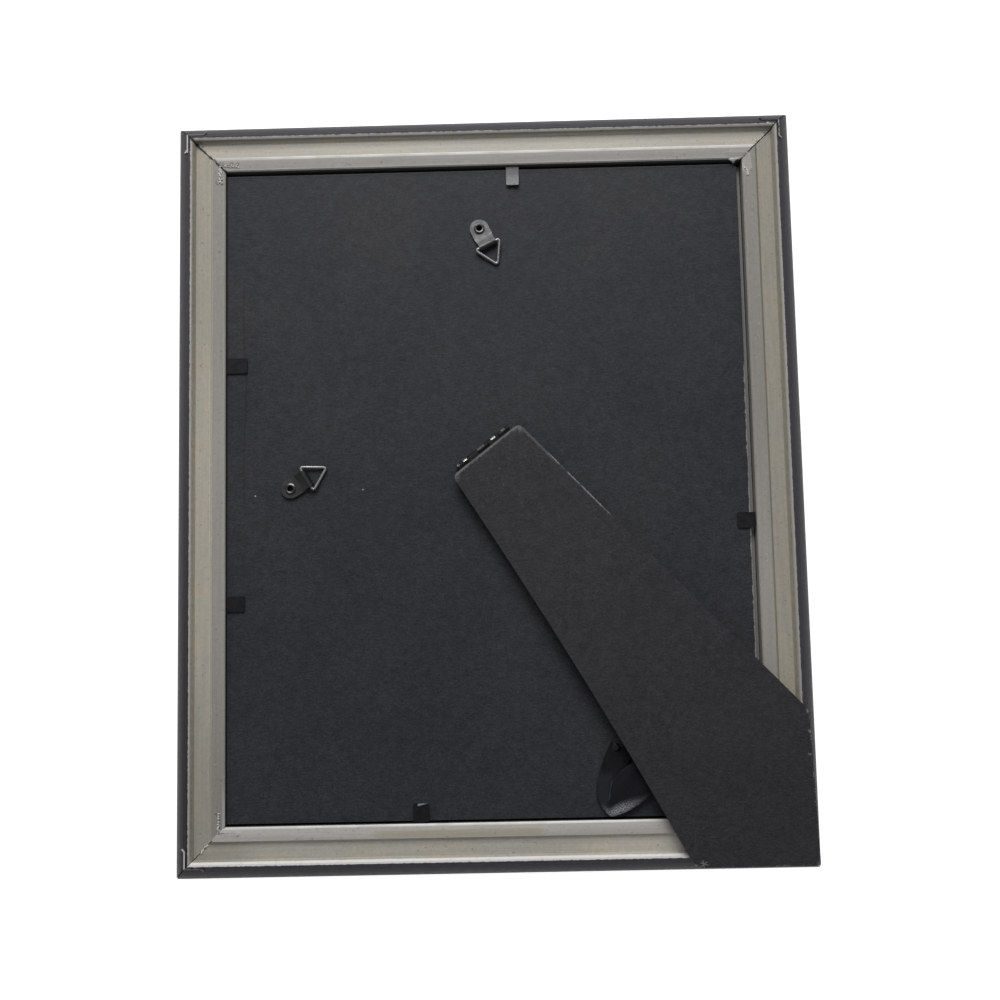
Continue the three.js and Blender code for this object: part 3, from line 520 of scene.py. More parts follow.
def board_material():
    s = Shader("backing board")
    place = s.place()
    x, y, z = s.split(place)
    tones = (0.0345, 0.0365, 0.043), (0.041, 0.0425, 0.0475)
    colour, normal, noises = paper(s, place, 26.0, *tones, (0.78, 1.24))
    tooth, fibres, lumps, clouds = noises
    dust = s.ease(s.noise(place, 1500.0, 2.0, 0.5), 0.7, 0.78)
    colour = s.cover(colour, dust, 0.4, (0.12, 0.12, 0.125))

    # A faint crease beside the left edge, dented by a bump, with painted shade along it
    crease = s.plus(x, s.fade(clouds, -1.2 * MM, 1.2 * MM))
    crease = s.band(crease, -95.7 * MM, -95.5 * MM, 0.45 * MM)
    crease = s.times(crease, s.band(y, -1.4 * MM, 77.7 * MM, 6 * MM))
    colour = s.tone(colour, crease, 0.84)

    # Flecks, the top edge, worn and with a painted highlight where it faces the light, the pale line worn
    # along the right edge and the cut edges' core
    for at, radius in (
        ((-91.4 * MM, -2.1 * MM), 0.22 * MM),
        ((-49.4 * MM, -0.5 * MM), 0.2 * MM),
        ((-95.06 * MM, 52.4 * MM), 0.22 * MM),
    ):
        colour = s.cover(colour, s.spot(x, y, at, radius, 0.15 * MM), 0.85, (0.5, 0.5, 0.5))
    # Wear and painted highlight along the top edge
    worn = s.times(s.ease(y, 126.1 * MM, 126.5 * MM), s.ease(tooth, 0.4, 0.65, 0.3, 1.0))
    colour = s.cover(colour, worn, 0.55, (0.13, 0.128, 0.13))
    pale = s.plus(x, s.ease(lumps, 0.2, 0.8, -0.25 * MM, 0.25 * MM))
    pale = s.times(
        s.ease(pale, 100.25 * MM, 100.5 * MM),
        s.ease(y, 48 * MM, 42 * MM),
        s.ease(fibres, 0.3, 0.55, 0.35, 1.0),
    )
    colour = s.mix(pale, colour, (0.32, 0.31, 0.3))
    core = s.ease(z, BOARD_TOP - 0.35 * MM, BOARD_TOP - 0.5 * MM)
    core = s.times(core, s.ease(z, 7.6 * MM, 7.8 * MM))
    colour = s.mix(core, colour, (0.06, 0.057, 0.054))
    normal = s.bump(crease, -0.12 * MM, 0.6, normal)
    normal = s.bump(clouds, 0.6 * MM, 0.2, normal)
    return s.finish(colour, s.spread(tooth, 0.46, 0.6), normal, Specular_IOR_Level=0.15)


def leg_wear(s, place, x, y):
    """1 where the leg's edges and corners are rubbed pale, or scratched near the instep."""
    patchy = s.noise(place, 210.0, 5.0, 0.7)
    fine = s.noise(place, 1300.0, 3.0, 0.6)
    ragged = s.spread(fine, -0.25 * MM, 0.25 * MM)

    # Each edge: its ends, how much of it is worn, how far in the wear reaches, and how pale it is
    marks = []
    for start, end, low, high, reach, most in (
        (LEG_TOP_RIGHT, LEG_HEEL, 0.34, 0.56, 0.45, 1.0),
        (LEG_TOP_RIGHT, LEG_RUBBED, 0.1, 0.4, 0.9, 0.2),
        (LEG_TOP_LEFT, LEG_TOP_RIGHT, 0.2, 0.5, 0.8, 0.42),
        (LEG_HEEL, LEG_TOE, 0.5, 0.62, 0.5, 0.4),
        (LEG_INSTEP, LEG_TOE, 0.52, 0.62, 0.5, 0.3),
    ):
        distance = s.absolute(s.beside(x, y, start, end))
        near = s.ease(s.plus(distance, ragged), (reach + 0.2) * MM, (reach - 0.2) * MM)
        here = s.times(near, s.ease(patchy, low, high))
        if end == LEG_HEEL:
            # Only the stretch below the hinge is rubbed bright
            here = s.times(here, s.band(x, 25 * MM, 44 * MM, 4 * MM), s.ease(fine, 0.4, 0.55, 0.35, 1.0))
        if end == LEG_RUBBED:
            here = s.times(here, s.ease(x, 27 * MM, 22 * MM))
        marks.append(s.times(here, most))

    # Each corner or dent: its place, how far its wear reaches, and how pale it is
    for at, radius, most in (
        (LEG_TOP_LEFT, 2.6 * MM, 0.3),
        (LEG_TOP_RIGHT, 3.2 * MM, 0.45),
        (LEG_HEEL, 1.2 * MM, 1.0),
        ((118.3 * MM, -96.2 * MM), 0.7 * MM, 0.8),
        ((117.6 * MM, -104.7 * MM), 0.6 * MM, 0.7),
        (LEG_INSTEP, 1.3 * MM, 0.8),
        (LEG_TOE, 1.6 * MM, 0.6),
    ):
        marks.append(s.times(s.spot(x, y, at, radius * 0.4, radius), s.ease(fine, 0.38, 0.6), most))

    # Scratches that cross near the instep: two points of each one's line, and its middle
    for start, end, middle in (
        ((75.2, -143.4), (78.8, -144.6), (76.9, -144.0)),
        ((76.3, -142.4), (76.9, -145.6), (76.6, -144.1)),
        ((75.4, -145.1), (78.3, -142.9), (76.8, -144.1)),
    ):
        start, end, middle = ((point[0] * MM, point[1] * MM) for point in (start, end, middle))
        line = s.ease(s.absolute(s.beside(x, y, start, end)), 0.22 * MM, 0.1 * MM)
        marks.append(s.times(line, s.spot(x, y, middle, 1.2 * MM, 0.6 * MM), 0.5))
    return s.larger(*marks)


def leg_material():
    """Black paper-faced board again, dustier, and rubbed pale along its edges and corners."""
    s = Shader("easel leg")
    place = s.place()
    x, y, _ = s.split(place)
    tones = (0.0355, 0.0345, 0.0385), (0.042, 0.041, 0.0445)
    colour, normal, noises = paper(s, place, 34.0, *tones, (0.8, 1.22))
    tooth, _, _, clouds = noises
    dust = s.ease(s.noise(place, 1100.0, 2.0, 0.5), 0.67, 0.76)
    near_top = s.spot(x, y, (-1 * MM, 9 * MM), 8 * MM, 26 * MM)
    colour = s.mix(s.times(dust, s.fade(near_top, 0.25, 0.8)), colour, (0.13, 0.13, 0.13))
    wear = leg_wear(s, place, x, y)
    colour = s.mix(wear, colour, (0.36, 0.35, 0.345))
    normal = s.bump(clouds, 0.6 * MM, 0.25, normal)
    normal = s.bump(wear, -0.06 * MM, 0.6, normal)
    return s.finish(colour, s.spread(tooth, 0.48, 0.62), normal, Specular_IOR_Level=0.17)


def steel_material(name, colour, dark, roughness, metallic, relief, roll=None):
    """Plain or blackened steel, with handling marks, pits and a slightly uneven sheen.

    On a strap, roll gives its eyelet and the way it points. Its rolled end is darkened with painted shade.
    """
    s = Shader(name)
    place = s.place()
    cloud = s.noise(place, 315.0, 4.0, 0.6)
    scratch = s.noise(s.stretch(place, (360, 3600, 1800)), 1.0, 3.0, 0.6)
    speck = s.noise(place, 2880.0, 2.0, 0.5)
    base = s.mix(s.ease(cloud, 0.35, 0.65), colour, dark)
    base = s.shade(base, s.ease(speck, 0.62, 0.72, 1.0, 1.0 - 0.25 * relief))
    if roll is not None:
        x, y, _ = s.split(place)
        (eyelet_x, eyelet_y), turn = roll
        along_x = s.times(s.minus(x, eyelet_x), math.cos(turn))
        along_y = s.times(s.minus(y, eyelet_y), math.sin(turn))
        along = s.plus(along_x, along_y)
        # Painted shade on the strap's rolled end
        base = s.shade(base, s.ease(along, ROLL_START, ROLL_START + 0.5 * MM, 1.0, 0.3))
    rough = s.spread(scratch, roughness - 0.08 * relief, roughness + 0.1 * relief)
    rough = s.plus(rough, s.spread(cloud, -0.04, 0.05))
    normal = s.bump(scratch, 0.02 * MM * relief, 0.5)
    normal = s.bump(speck, 0.03 * MM * relief, 0.35, normal)
    return s.finish(base, rough, normal, Metallic=metallic)


def point_material():
    """Blackened spring steel; the top point's tip is rubbed to bare metal, and the bottom one carries a
    painted glint.
    """
    s = Shader("point steel")
    place = s.place()
    x, y, _ = s.split(place)
    cloud = s.noise(place, 420.0, 4.0, 0.6)
    fine = s.noise(s.stretch(place, (2600, 700, 1500)), 1.0, 3.0, 0.65)
    base = s.mix(s.ease(cloud, 0.35, 0.65), (0.009, 0.009, 0.011), (0.017, 0.016, 0.019))
    top = s.times(
        s.ease(y, 118 * MM, 119 * MM),
        s.spread(fine, 0.3, 0.5),
        s.ease(y, 127.5 * MM, 121 * MM, 0.6, 1.0),
    )
    # A painted glint across the bottom point
    glint = s.minus(y, s.times(x, 0.25))
    glint = s.band(glint, -114.2 * MM, -113.7 * MM, 0.25 * MM)
    glint = s.times(glint, s.band(x, -29.4 * MM, -25.9 * MM, 0.5 * MM))
    rubbed = s.larger(top, glint)
    colour = s.mix(rubbed, base, (0.42, 0.43, 0.44))
    s.feed(s.surface.inputs["Metallic"], s.fade(rubbed, 0.0, 0.6))
    roughness = s.plus(s.fade(rubbed, 0.5, 0.42), s.spread(fine, -0.05, 0.07))
    return s.finish(colour, roughness, s.bump(fine, 0.03 * MM, 0.5), Specular_IOR_Level=0.18)


def nail_material():
    """Dull steel, with filler and paint left over parts of each nail."""
    s = Shader("nail steel")
    place = s.place()
    x, y, _ = s.split(place)
    from_side, from_end, inward = s.from_edges(x, y)
    patches = s.noise(place, 330.0, 4.0, 0.7)
    fine = s.noise(place, 2200.0, 3.0, 0.6)

    # The inner nail at the upper right is nearly all under filler
    buried = s.times(
        s.ease(x, 90 * MM, 91 * MM),
        s.ease(y, 118 * MM, 119 * MM),
        s.ease(inward, 12 * MM, 13 * MM),
    )
    covered = s.larger(s.ease(patches, 0.47, 0.56), s.times(buried, 0.92))

    # The outer nails' upright arms at the left are bare, and the arm along the top at the right is painted
    upright = s.ease(s.minus(from_side, from_end), 0.3 * MM, -0.3 * MM)
    outer = s.ease(inward, 10 * MM, 9.5 * MM)
    left = s.sided(x, 1.0, 0.0)
    bare = s.times(upright, outer, left)
    covered = s.times(covered, s.rest(bare))
    painted = s.times(s.rest(left), s.ease(y, 0.0, 1 * MM))
    covered = s.larger(covered, s.times(s.rest(upright), outer, s.between(painted, 0.55, 1.0)))
    steel = s.mix(s.ease(fine, 0.35, 0.65), (0.36, 0.35, 0.335), (0.24, 0.23, 0.225))
    steel = s.mix(bare, steel, s.mix(s.sided(y), (0.85, 0.83, 0.8), (0.44, 0.43, 0.415)))
    over = s.mix(painted, (0.075, 0.074, 0.076), (0.035, 0.034, 0.037))
    over = s.mix(outer, (0.22, 0.215, 0.2), over)
    over = s.mix(buried, over, (0.3, 0.295, 0.28))
    colour = s.mix(covered, steel, over)
    fleck = s.spot(x, y, (103.4 * MM, 122.9 * MM), 0.6 * MM, 0.5 * MM)
    colour = s.mix(s.times(fleck, s.ease(fine, 0.35, 0.5)), colour, (0.62, 0.61, 0.58))
    s.feed(s.surface.inputs["Metallic"], s.fade(covered, 0.5, 0.0))
    roughness = s.plus(s.fade(covered, 0.52, 0.7), s.spread(fine, -0.05, 0.06))
    return s.finish(colour, roughness, s.bump(fine, 0.05 * MM, 0.6))


def hinge_material():
    """Black enamel, rubbed down to bright steel on two of the knuckles, and a little on the others."""
    s = Shader("hinge steel")
    place = s.place()
    x, y, z = s.split(place)
    cloud = s.noise(place, 500.0, 4.0, 0.6)
    fine = s.noise(place, 2400.0, 3.0, 0.6)
    dx = s.minus(x, HINGE.x)
    dy = s.minus(y, HINGE.y)
    along = s.plus(s.times(dx, HINGE_ALONG.x), s.times(dy, HINGE_ALONG.y))
    across = s.minus(s.times(dy, HINGE_ALONG.x), s.times(dx, HINGE_ALONG.y))

    # Each rubbed stretch of the knuckles: where it starts and ends along the pin, and how bright it is
    stretches = [
        s.times(s.band(along, start * MM, end * MM, 0.4 * MM), most)
        for start, end, most in (
            (-9.2, -7.8, 1.0),
            (4.4, 6.0, 1.0),
            (-2.4, 0.8, 0.14),
            (9.6, 10.8, 0.2),
            (-12.2, -11.6, 0.3),
        )
    ]
    rub = s.times(
        s.larger(*stretches),
        s.ease(fine, 0.35, 0.5),
        s.band(across, 0.35 * MM, 1.1 * MM, 0.2 * MM),
        s.ease(z, HINGE.z + 0.2 * MM, HINGE.z + 0.5 * MM),
    )
    paint = s.mix(s.ease(cloud, 0.35, 0.65), (0.008, 0.008, 0.009), (0.014, 0.014, 0.016))
    colour = s.mix(rub, paint, (0.85, 0.84, 0.82))
    roughness = s.plus(s.fade(rub, 0.5, 0.32), s.spread(fine, -0.04, 0.06))
    s.feed(s.surface.inputs["Metallic"], s.fade(rub, 0.0, 1.0))
    normal = s.bump(fine, 0.03 * MM, 0.5)
    return s.finish(colour, roughness, normal, Specular_IOR_Level=0.2)


def ribbon_material():
    """Black satin: warp threads along the ribbon, which the mesh's own run coordinate follows."""
    s = Shader("satin ribbon")
    run = s.node("ShaderNodeAttribute", attribute_name="run").outputs["Vector"]
    across, along, _ = s.split(run)
    threads = s.noise(s.stretch(run, (5200, 120, 1)), 1.0, 2.0, 0.5)
    picks = s.math("SINE", s.times(along, 2 * math.pi / (0.34 * MM)))
    gathers = s.noise(s.stretch(run, (420, 60, 1)), 1.0, 3.0, 0.6)
    nap = s.noise(s.stretch(run, (26, 3000, 1)), 1.0, 4.0, 0.65)
    colour = s.mix(s.spread(threads), (0.005, 0.005, 0.009), (0.011, 0.011, 0.016))

    # The run from the rivet carries painted shade at its start, and painted sheen on its outer half, where it
    # catches some light
    start = s.ease(along, 13 * MM, 6 * MM)
    colour = s.tone(colour, start, 0.45)
    sheen = s.times(s.band(across, 0.6, 0.9, 0.15), s.band(along, 13 * MM, 21 * MM, 4 * MM))
    colour = s.cover(colour, sheen, 0.8, (0.026, 0.031, 0.036))
    # A painted highlight along the pleat's crest
    crest = s.times(s.band(across, 0.44, 0.48, 0.03), s.band(along, 15 * MM, 19 * MM, 3 * MM))
    colour = s.cover(colour, crest, 0.7, (0.07, 0.075, 0.085))

    # Frayed threads along the outer edge where it turns, with painted satin sheen, palest at the fold and
    # thinning out towards the leg
    inner_end = s.ease(along, 24 * MM, 42 * MM, 0.7, 0.98)
    fray_and_sheen = s.times(
        s.ease(s.minus(across, inner_end), -0.12, 0.14),
        s.ease(along, 21 * MM, 25 * MM),
        s.ease(along, 40 * MM, 27 * MM, 0.04, 1.0),
    )
    # Painted sheen glints on the frayed edge
    glints = s.times(s.ease(nap, 0.42, 0.58, 0.12, 1.0), fray_and_sheen)
    colour = s.cover(colour, glints, 0.9, (0.52, 0.53, 0.56))
    roughness = s.spread(threads, 0.36, 0.52)
    normal = s.bump(s.plus(threads, s.times(picks, 0.12)), 0.04 * MM, 0.6)
    normal = s.bump(gathers, 0.5 * MM, 0.5, normal)
    return s.finish(
        colour, roughness, normal, Specular_IOR_Level=0.22, Sheen_Weight=0.05, Sheen_Roughness=0.4
    )


def glass_material():
    s = Shader("glazing")
    smears = s.noise(s.place(), 90.0, 4.0, 0.6)
    tint = s.mix(s.spread(smears), (0.86, 0.93, 0.9), (0.9, 0.95, 0.93))
    roughness = s.ease(smears, 0.45, 0.8, 0.02, 0.09)
    return s.finish(tint, roughness, Transmission_Weight=1.0, IOR=1.52)


def insert_material():
    s = Shader("insert sheet")
    place = s.place()
    tooth = s.noise(place, 2800.0, 4.0, 0.7)
    clouds = s.noise(place, 40.0, 3.0, 0.5)
    colour = s.mix(s.spread(clouds), (0.3, 0.297, 0.29), (0.33, 0.327, 0.32))
    return s.finish(colour, s.spread(tooth, 0.8, 0.92), s.bump(tooth, 0.03 * MM, 0.5))


# Pieces


def add_object(name, data):
    """A new object with this data, in the scene."""
    made = bpy.data.objects.new(name, data)
    bpy.context.scene.collection.objects.link(made)
    return made


def dress(names, material):
    for name in names:
        data = nodes[name].data
        data.materials.clear()
        data.materials.append(material)


def smooth(piece, angle):
    """Smooth faces, with the edges over the angle kept sharp."""
    piece.data.polygons.foreach_set("use_smooth", [True] * len(piece.data.polygons))
    piece.data.set_sharp_from_angle(angle=math.radians(angle))


def weld(piece):
    """Joins the facets, each of which has its own points."""
    piece.modifiers.new("weld", "WELD").merge_threshold = WELD_DISTANCE


def soften(name, width, angle=35, segments=2, smooth_angle=30):
    """Breaks the node's sharp edges with a small round, as worn or formed edges are."""
    piece = nodes[name]
    weld(piece)
    bevel = piece.modifiers.new("bevel", "BEVEL")
    bevel.width = width
    bevel.segments = segments
    bevel.limit_method = "ANGLE"
    bevel.angle_limit = math.radians(angle)
    bevel.use_clamp_overlap = True
    smooth(piece, smooth_angle)
    weighted = piece.modifiers.new("weighted normals", "WEIGHTED_NORMAL")
    weighted.mode = "FACE_AREA"
    weighted.weight = 50
    weighted.keep_sharp = True


def round_off(name):
    """Turns the node's flat facets into one round surface, as drawn wire has."""
    piece = nodes[name]
    weld(piece)
    even = piece.modifiers.new("even", "REMESH")
    even.mode = "VOXEL"
    even.voxel_size = 0.12 * MM
    even.use_smooth_shade = True
    rounding = piece.modifiers.new("rounding", "SMOOTH")
    rounding.factor = 0.5
    rounding.iterations = 6


def spline(points, steps):
    """A smooth line through points, with steps between each pair."""
    made = []
    last = len(points) - 1
    for i in range(last):
        before = points[max(i - 1, 0)]
        a, b = points[i], points[i + 1]
        after = points[min(i + 2, last)]
        slope = b - before
        bend = 2 * before - 5 * a + 4 * b - after
        twist = 3 * a - before - 3 * b + after
        for k in range(steps):
            t = k / steps
            made.append(0.5 * (2 * a + slope * t + bend * t * t + twist * t * t * t))
    made.append(points[last].copy())
    return made


def add_sheet(name, rows, thickness, material):
    """A thin closed skin through rows of points."""
    columns = len(rows[0])
    faces = []
    for i in range(len(rows) - 1):
        for j in range(columns - 1):
            a = i * columns + j
            faces.append((a, a + 1, a + columns + 1, a + columns))
    mesh = bpy.data.meshes.new(name)
    mesh.from_pydata([point for row in rows for point in row], [], faces)
    mesh.materials.append(material)
    mesh.polygons.foreach_set("use_smooth", [True] * len(mesh.polygons))
    piece = add_object(name, mesh)
    thick = piece.modifiers.new("thickness", "SOLIDIFY")
    thick.thickness = thickness
    thick.offset = 0.0
    return piece


def add_ribbon():
    """The ribbon leaves its rivet on the board, folds over beside the leg and goes under it.

    Each section is its outer end, its inner end, and how high the pleat between them stands, in millimetres.
    """
    sections = (
        ((43.9, -99.3, 10.95), (52.4, -102.9, 10.95), 0.0),
        ((43.0, -101.3, 11.15), (52.2, -104.6, 11.1), 0.1),
        ((41.9, -103.7, 11.1), (51.4, -106.0, 11.3), 0.5),
        ((40.7, -106.7, 10.95), (50.4, -108.3, 11.5), 1.1),
        ((39.5, -110.1, 10.9), (49.4, -111.0, 11.6), 1.6),
        ((38.5, -113.8, 10.9), (48.6, -113.8, 11.7), 1.8),
        ((38.2, -117.1, 10.9), (47.9, -116.9, 11.7), 1.7),
        ((38.3, -120.1, 10.95), (46.7, -119.8, 11.7), 1.5),
        ((39.2, -122.5, 11.1), (44.8, -120.6, 11.9), 1.1),
        ((40.9, -124.9, 11.6), (43.6, -120.0, 12.4), 0.6),
        ((43.2, -126.8, 12.3), (43.3, -117.6, 13.0), 0.2),
        ((46.0, -126.3, 12.7), (43.9, -114.8, 13.4), 0.15),
        ((49.5, -125.0, 12.9), (45.3, -112.2, 13.5), 0.2),
        ((53.3, -122.9, 13.1), (47.6, -109.8, 13.6), 0.15),
        ((57.3, -120.0, 13.3), (50.9, -107.4, 13.7), 0.1),
        ((61.7, -116.5, 13.5), (55.4, -105.3, 13.75), 0.0),
        ((66.5, -112.3, 13.7), (60.8, -104.5, 13.8), 0.0),
        ((71.6, -106.5, 13.85), (65.9, -98.6, 13.85), 0.0),
        ((73.8, -103.9, 13.9), (68.1, -96.1, 13.9), 0.0),
    )
    steps, columns, pleat_at = 6, 14, 0.38
    outside = spline([Vector(section[0]) * MM for section in sections], steps)
    inside = spline([Vector(section[1]) * MM for section in sections], steps)
    pleats = spline([Vector((section[2], 0, 0)) * MM for section in sections], steps)
    centre = [(a + b) / 2 for a, b in zip(outside, inside)]
    reach = [0.0]
    for a, b in zip(centre, centre[1:]):
        reach.append(reach[-1] + (b - a).length)
    rows, runs = [], []
    for i, (edge, core) in enumerate(zip(outside, inside)):
        row = []
        for j in range(columns + 1):
            t = j / columns
            point = core.lerp(edge, t)
            pleat = min(t / pleat_at, (1 - t) / (1 - pleat_at))
            point.z += pleats[i].x * math.sin(0.5 * math.pi * pleat)
            point.z += 0.12 * MM * math.sin(8 * t + 0.16 * i) * math.sin(math.pi * t)
            point.z = max(point.z, BOARD_TOP + 0.3 * MM)
            row.append(point)
            runs.append((t, reach[i], 0.0))
        rows.append(row)
    ribbon = add_sheet("ribbon", rows, 0.12 * MM, ribbon_material())
    attribute = ribbon.data.attributes.new("run", "FLOAT_VECTOR", "POINT")
    attribute.data.foreach_set("vector", [value for run in runs for value in run])
    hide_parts("ribbon_stay")
    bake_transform(ribbon)


def corner_point(corner, from_side, from_end, height):
    """A place measured in millimetres from the outer edges that meet at a corner of the frame."""
    x = HALF_WIDTH - from_side * MM
    y = HALF_HEIGHT - from_end * MM
    return Vector((x if "right" in corner else -x, y if "top" in corner else -y, height * MM))


def filler_material():
    s = Shader("dried filler")
    lumps = s.noise(s.place(), 1600.0, 4.0, 0.6)
    colour = s.mix(s.ease(lumps, 0.4, 0.6), (0.86, 0.85, 0.82), (0.5, 0.49, 0.46))
    return s.finish(colour, 0.8, s.bump(lumps, 0.1 * MM, 0.7))


def add_smears(material):
    """Filler rubbed smooth over some nails and mitres, in low mounds of the moulding's own colour."""
    # Where an inner nail's arm runs, where it turns off into its hook, and where the hook ends
    arm, turn, hook = 17.45, 23.9, 25.0
    level = ((16.9, arm), (turn, arm), (hook, 16.5))
    upright = ((arm, 16.9), (arm, turn), (16.5, hook))

    # Each smear: the corner, its middle line, how wide it is and how far its crest stands over the face
    smears = (
        ("smear_top_right_level", "top_right", level, 4.2, 0.2),
        ("smear_top_right_upright", "top_right", upright, 4.2, 0.2),
        ("smear_bottom_left_level", "bottom_left", level, 4.2, 0.2),
        ("smear_bottom_left_mitre", "bottom_left", ((14.9, 14.9), (16.0, 16.0), (17.2, 17.2)), 1.4, 0.06),
        ("smear_top_left_mitre", "top_left", ((14.8, 14.8), (15.4, 15.3), (16.0, 15.9)), 1.2, 0.05),
    )
    fall = (FACE_HEIGHT - LIP_HEIGHT) / (LIP - FACE_START)
    chance = random.Random(5)
    for name, corner, line, width, crest in smears:
        middle = spline([corner_point(corner, *point, 0) for point in line], 12)
        rows = []
        for i, point in enumerate(middle):
            along = middle[min(i + 1, len(middle) - 1)] - middle[max(i - 1, 0)]
            across = along.cross(Vector((0, 0, 1))).normalized()
            swell = math.sin(math.pi * (i + 0.5) / len(middle)) ** 0.3
            half = 0.5 * width * MM * swell * chance.uniform(0.96, 1.02)
            row = []
            for j in range(17):
                side = j / 8 - 1
                spot = point + across * (side * half)
                inset = min(HALF_WIDTH - abs(spot.x), HALF_HEIGHT - abs(spot.y))
                spot.z = FACE_HEIGHT - fall * (min(max(inset, FACE_START), LIP) - FACE_START)
                spot.z += (swell * (0.5 + 0.5 * math.cos(math.pi * side)) * crest - 0.03) * MM
                row.append(spot)
            rows.append(row)
        smear = add_sheet(name, rows, 0.02 * MM, material)
        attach(smear, "frame")


def add_crumbs():
    """Ragged crumbs of filler and broken board left along the nails and mitres."""
    # Each run: its two ends, how far the crumbs stray, how many, and their greatest radius
    corners = {
        "top_left": (
            ((17.6, 18.4, 12.95), (18.2, 24.8, 12.95), 0.7, 44, 0.42),
            ((18.0, 17.5, 12.95), (25.0, 18.0, 12.95), 0.5, 22, 0.3),
            ((4.4, 11.4, 14.5), (6.4, 12.8, 14.4), 0.5, 16, 0.36),
        ),
        "top_right": (
            ((13.9, 13.2, 12.3), (10.6, 9.9, 11.9), 0.3, 26, 0.3),
            ((18.6, 22.2, 12.8), (17.5, 26.8, 12.9), 0.5, 20, 0.4),
            ((6.8, 6.2, 14.5), (9.4, 6.3, 14.6), 0.4, 16, 0.36),
        ),
        "bottom_left": (
            ((17.3, 18.2, 12.95), (17.4, 24.8, 12.95), 0.45, 40, 0.4),
            ((18.0, 17.6, 13.0), (24.5, 17.2, 13.0), 0.5, 16, 0.22),
            ((10.4, 10.4, 11.8), (13.4, 13.4, 12.2), 0.4, 24, 0.34),
        ),
    }
    material = filler_material()
    chance = random.Random(11)
    for corner, runs in corners.items():
        crumbs = bmesh.new()
        for start, end, stray, count, largest in runs:
            for _ in range(count):
                t = chance.random()
                spot = [a + (b - a) * t for a, b in zip(start, end)]
                spot[0] += chance.gauss(0, 0.5 * stray)
                spot[1] += chance.gauss(0, 0.5 * stray)
                size = largest * chance.uniform(0.3, 1.0) * MM
                stretch = Vector([chance.uniform(0.6, 1.3) for _ in range(3)])
                turn = Matrix.Rotation(chance.uniform(0, 2 * math.pi), 4, "Z")
                place = Matrix.Translation(corner_point(corner, *spot)) @ turn
                place = place @ Matrix.Diagonal((*stretch, 1))
                made = bmesh.ops.create_icosphere(crumbs, subdivisions=2, radius=size, matrix=place)
                for vert in made["verts"]:
                    vert.co += Vector([chance.uniform(-0.18, 0.18) * size for _ in range(3)])
        mesh = bpy.data.meshes.new(f"crumbs_{corner}")
        crumbs.to_mesh(mesh)
        crumbs.free()
        mesh.materials.append(material)
        piece = add_object(f"crumbs_{corner}", mesh)
        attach(piece, "frame")


def add_torn_paper():
    """A scrap of the board's facing, torn off and stuck on the lip at the upper right corner."""
    # Where it is stuck, its middle, and its loose end, in five columns from left to right, in millimetres
    columns = (
        ((97.6, 128.2, 12.7), (97.4, 128.0, 12.7), (97.7, 127.75, 12.6)),
        ((98.8, 128.35, 12.8), (98.7, 127.8, 12.85), (98.7, 127.1, 12.4)),
        ((100.0, 128.4, 12.85), (99.9, 127.75, 12.7), (99.5, 126.4, 11.6)),
        ((101.2, 128.55, 12.8), (101.1, 128.1, 12.85), (100.5, 127.6, 12.4)),
        ((102.4, 128.45, 12.7), (102.5, 128.15, 12.7), (101.9, 127.9, 12.6)),
    )
    rows = [[Vector(point) * MM for point in row] for row in zip(*columns)]
    s = Shader("torn paper")
    fibres = s.noise(s.place(), 2200.0, 4.0, 0.65, 0.6)
    colour = s.mix(s.ease(fibres, 0.35, 0.6), (0.72, 0.71, 0.69), (0.42, 0.41, 0.4))
    material = s.finish(colour, 0.85, s.bump(fibres, 0.12 * MM, 0.7))
    scrap = add_sheet("torn_paper", rows, 0.14 * MM, material)
    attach(scrap, "frame")


def dress_frame():
    level = moulding_material("moulding lengthways x", "x")
    upright = moulding_material("moulding lengthways y", "y")
    add_smears(level)
    dress(["moulding_top", "moulding_bottom"], level)
    dress(["moulding_left", "moulding_right"], upright)
    for side in ("top", "bottom", "left", "right"):
        soften(f"moulding_{side}", 0.18 * MM, angle=28, smooth_angle=35)

    dress([name for name in nodes if name.startswith("v_nail_")], nail_material())
    points = [name for name in nodes if name.startswith("flex_point_")]
    dress(points, point_material())
    for name in points:
        soften(name, 0.08 * MM)
    dress(["glazing_sheet"], glass_material())
    dress(["insert_sheet"], insert_material())
    dress(["backing_board"], board_material())
    soften("backing_board", 0.25 * MM, segments=3)
    dress(["easel_leg"], leg_material())
    soften("easel_leg", 0.5 * MM, segments=4)


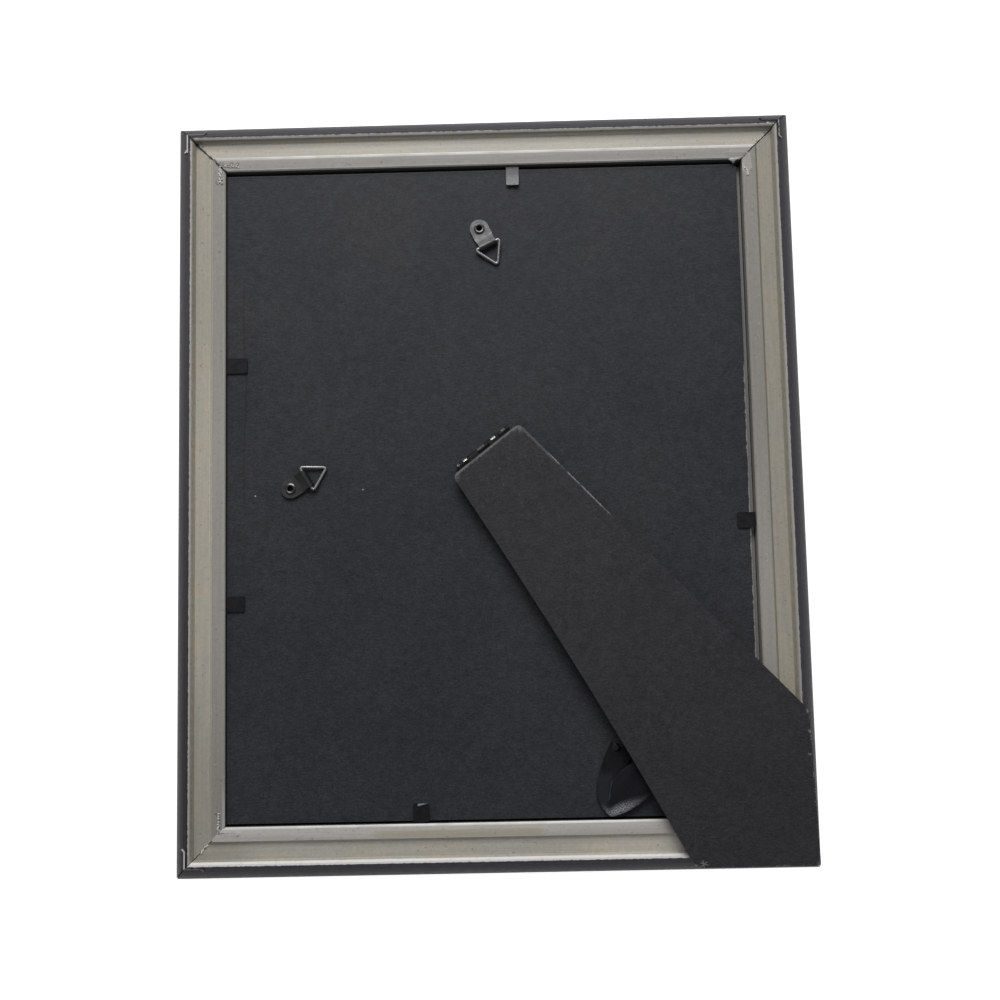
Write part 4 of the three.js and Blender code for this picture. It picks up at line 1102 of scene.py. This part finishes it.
def dress_hardware():
    eyelet = steel_material("eyelet steel", (0.13, 0.13, 0.132), (0.07, 0.07, 0.072), 0.3, 0.9, 0.4)
    ring = steel_material("ring steel", (0.34, 0.34, 0.35), (0.29, 0.29, 0.3), 0.42, 0.9, 0.12)

    # Each hanger: its strap's two greys, its eyelet's place, and the way it points in degrees. The top strap
    # is given paler greys as painted light, and the side strap darker ones as painted shade
    for side, name, colour, dark, eyelet_at, turn in (
        ("top", "pale strap", (0.17, 0.171, 0.172), (0.125, 0.126, 0.127), (-2.0, 102.445), -64.5),
        ("side", "dark strap", (0.062, 0.061, 0.061), (0.042, 0.041, 0.041), (-77.45, 0.295), 30),
    ):
        roll = Vector(eyelet_at) * MM, math.radians(turn)
        strap = steel_material(name, colour, dark, 0.5, 0.6, 0.6, roll)
        dress([f"hanger_{side}_eyelet"], eyelet)
        dress([f"hanger_{side}_strap"], strap)
        dress([f"hanger_{side}_ring"], ring)
        soften(f"hanger_{side}_strap", 0.12 * MM)
        smooth(nodes[f"hanger_{side}_eyelet"], 50)
        round_off(f"hanger_{side}_ring")

    hinge = ["hinge_board_leaf", "hinge_leg_leaf", "hinge_pin"]
    dress(hinge, hinge_material())
    for name in hinge:
        soften(name, 0.06 * MM, angle=50, smooth_angle=50)
    rivets = ["ribbon_board_rivet", "ribbon_leg_rivet"]
    dress(rivets, steel_material("rivet steel", (0.006, 0.006, 0.007), (0.01, 0.01, 0.01), 0.2, 0.0, 0.3))
    for name in rivets:
        smooth(nodes[name], 50)


# Studio


def add_key_light():
    data = bpy.data.lights.new("key", "AREA")
    data.shape = "RECTANGLE"
    data.size, data.size_y = 0.55, 0.55
    data.energy = 5.4
    data.color = (1.0, 0.99, 0.975)
    light = add_object("key", data)
    light.location = (-0.06, 0.62, 0.6)
    light.rotation_mode = "QUATERNION"
    light.rotation_quaternion = (-light.location).to_track_quat("-Z", "Y")


def add_floor():
    mesh = bpy.data.meshes.new("floor")
    mesh.from_pydata([(-3, -3, 0), (3, -3, 0), (3, 3, 0), (-3, 3, 0)], [], [(0, 1, 2, 3)])
    floor = add_object("floor", mesh)
    floor.location.z = -0.05 * MM
    s = Shader("floor")
    x, y, _ = s.split(s.place())
    # No light comes from under the frame
    under = s.band(x, 0.4 * MM - HALF_WIDTH, HALF_WIDTH - 0.4 * MM, 0.3 * MM)
    under = s.times(under, s.band(y, 0.4 * MM - HALF_HEIGHT, HALF_HEIGHT - 0.4 * MM, 0.3 * MM))
    s.feed(s.surface.inputs["Emission Strength"], s.times(0.92, s.rest(under)))
    mesh.materials.append(s.finish((0.6, 0.6, 0.6), 0.9, Emission_Color=(1.0, 1.0, 1.0, 1.0)))


def add_studio():
    add_floor()
    world = bpy.data.worlds.new("studio")
    world.use_nodes = True
    background = world.node_tree.nodes["Background"]
    background.inputs["Color"].default_value = (0.97, 0.985, 1.0, 1)
    background.inputs["Strength"].default_value = 0.23
    bpy.context.scene.world = world
    bpy.context.scene.view_settings.view_transform = "Standard"
    add_key_light()


add_camera()
dress_frame()
dress_hardware()
add_ribbon()
add_crumbs()
add_torn_paper()
add_studio()
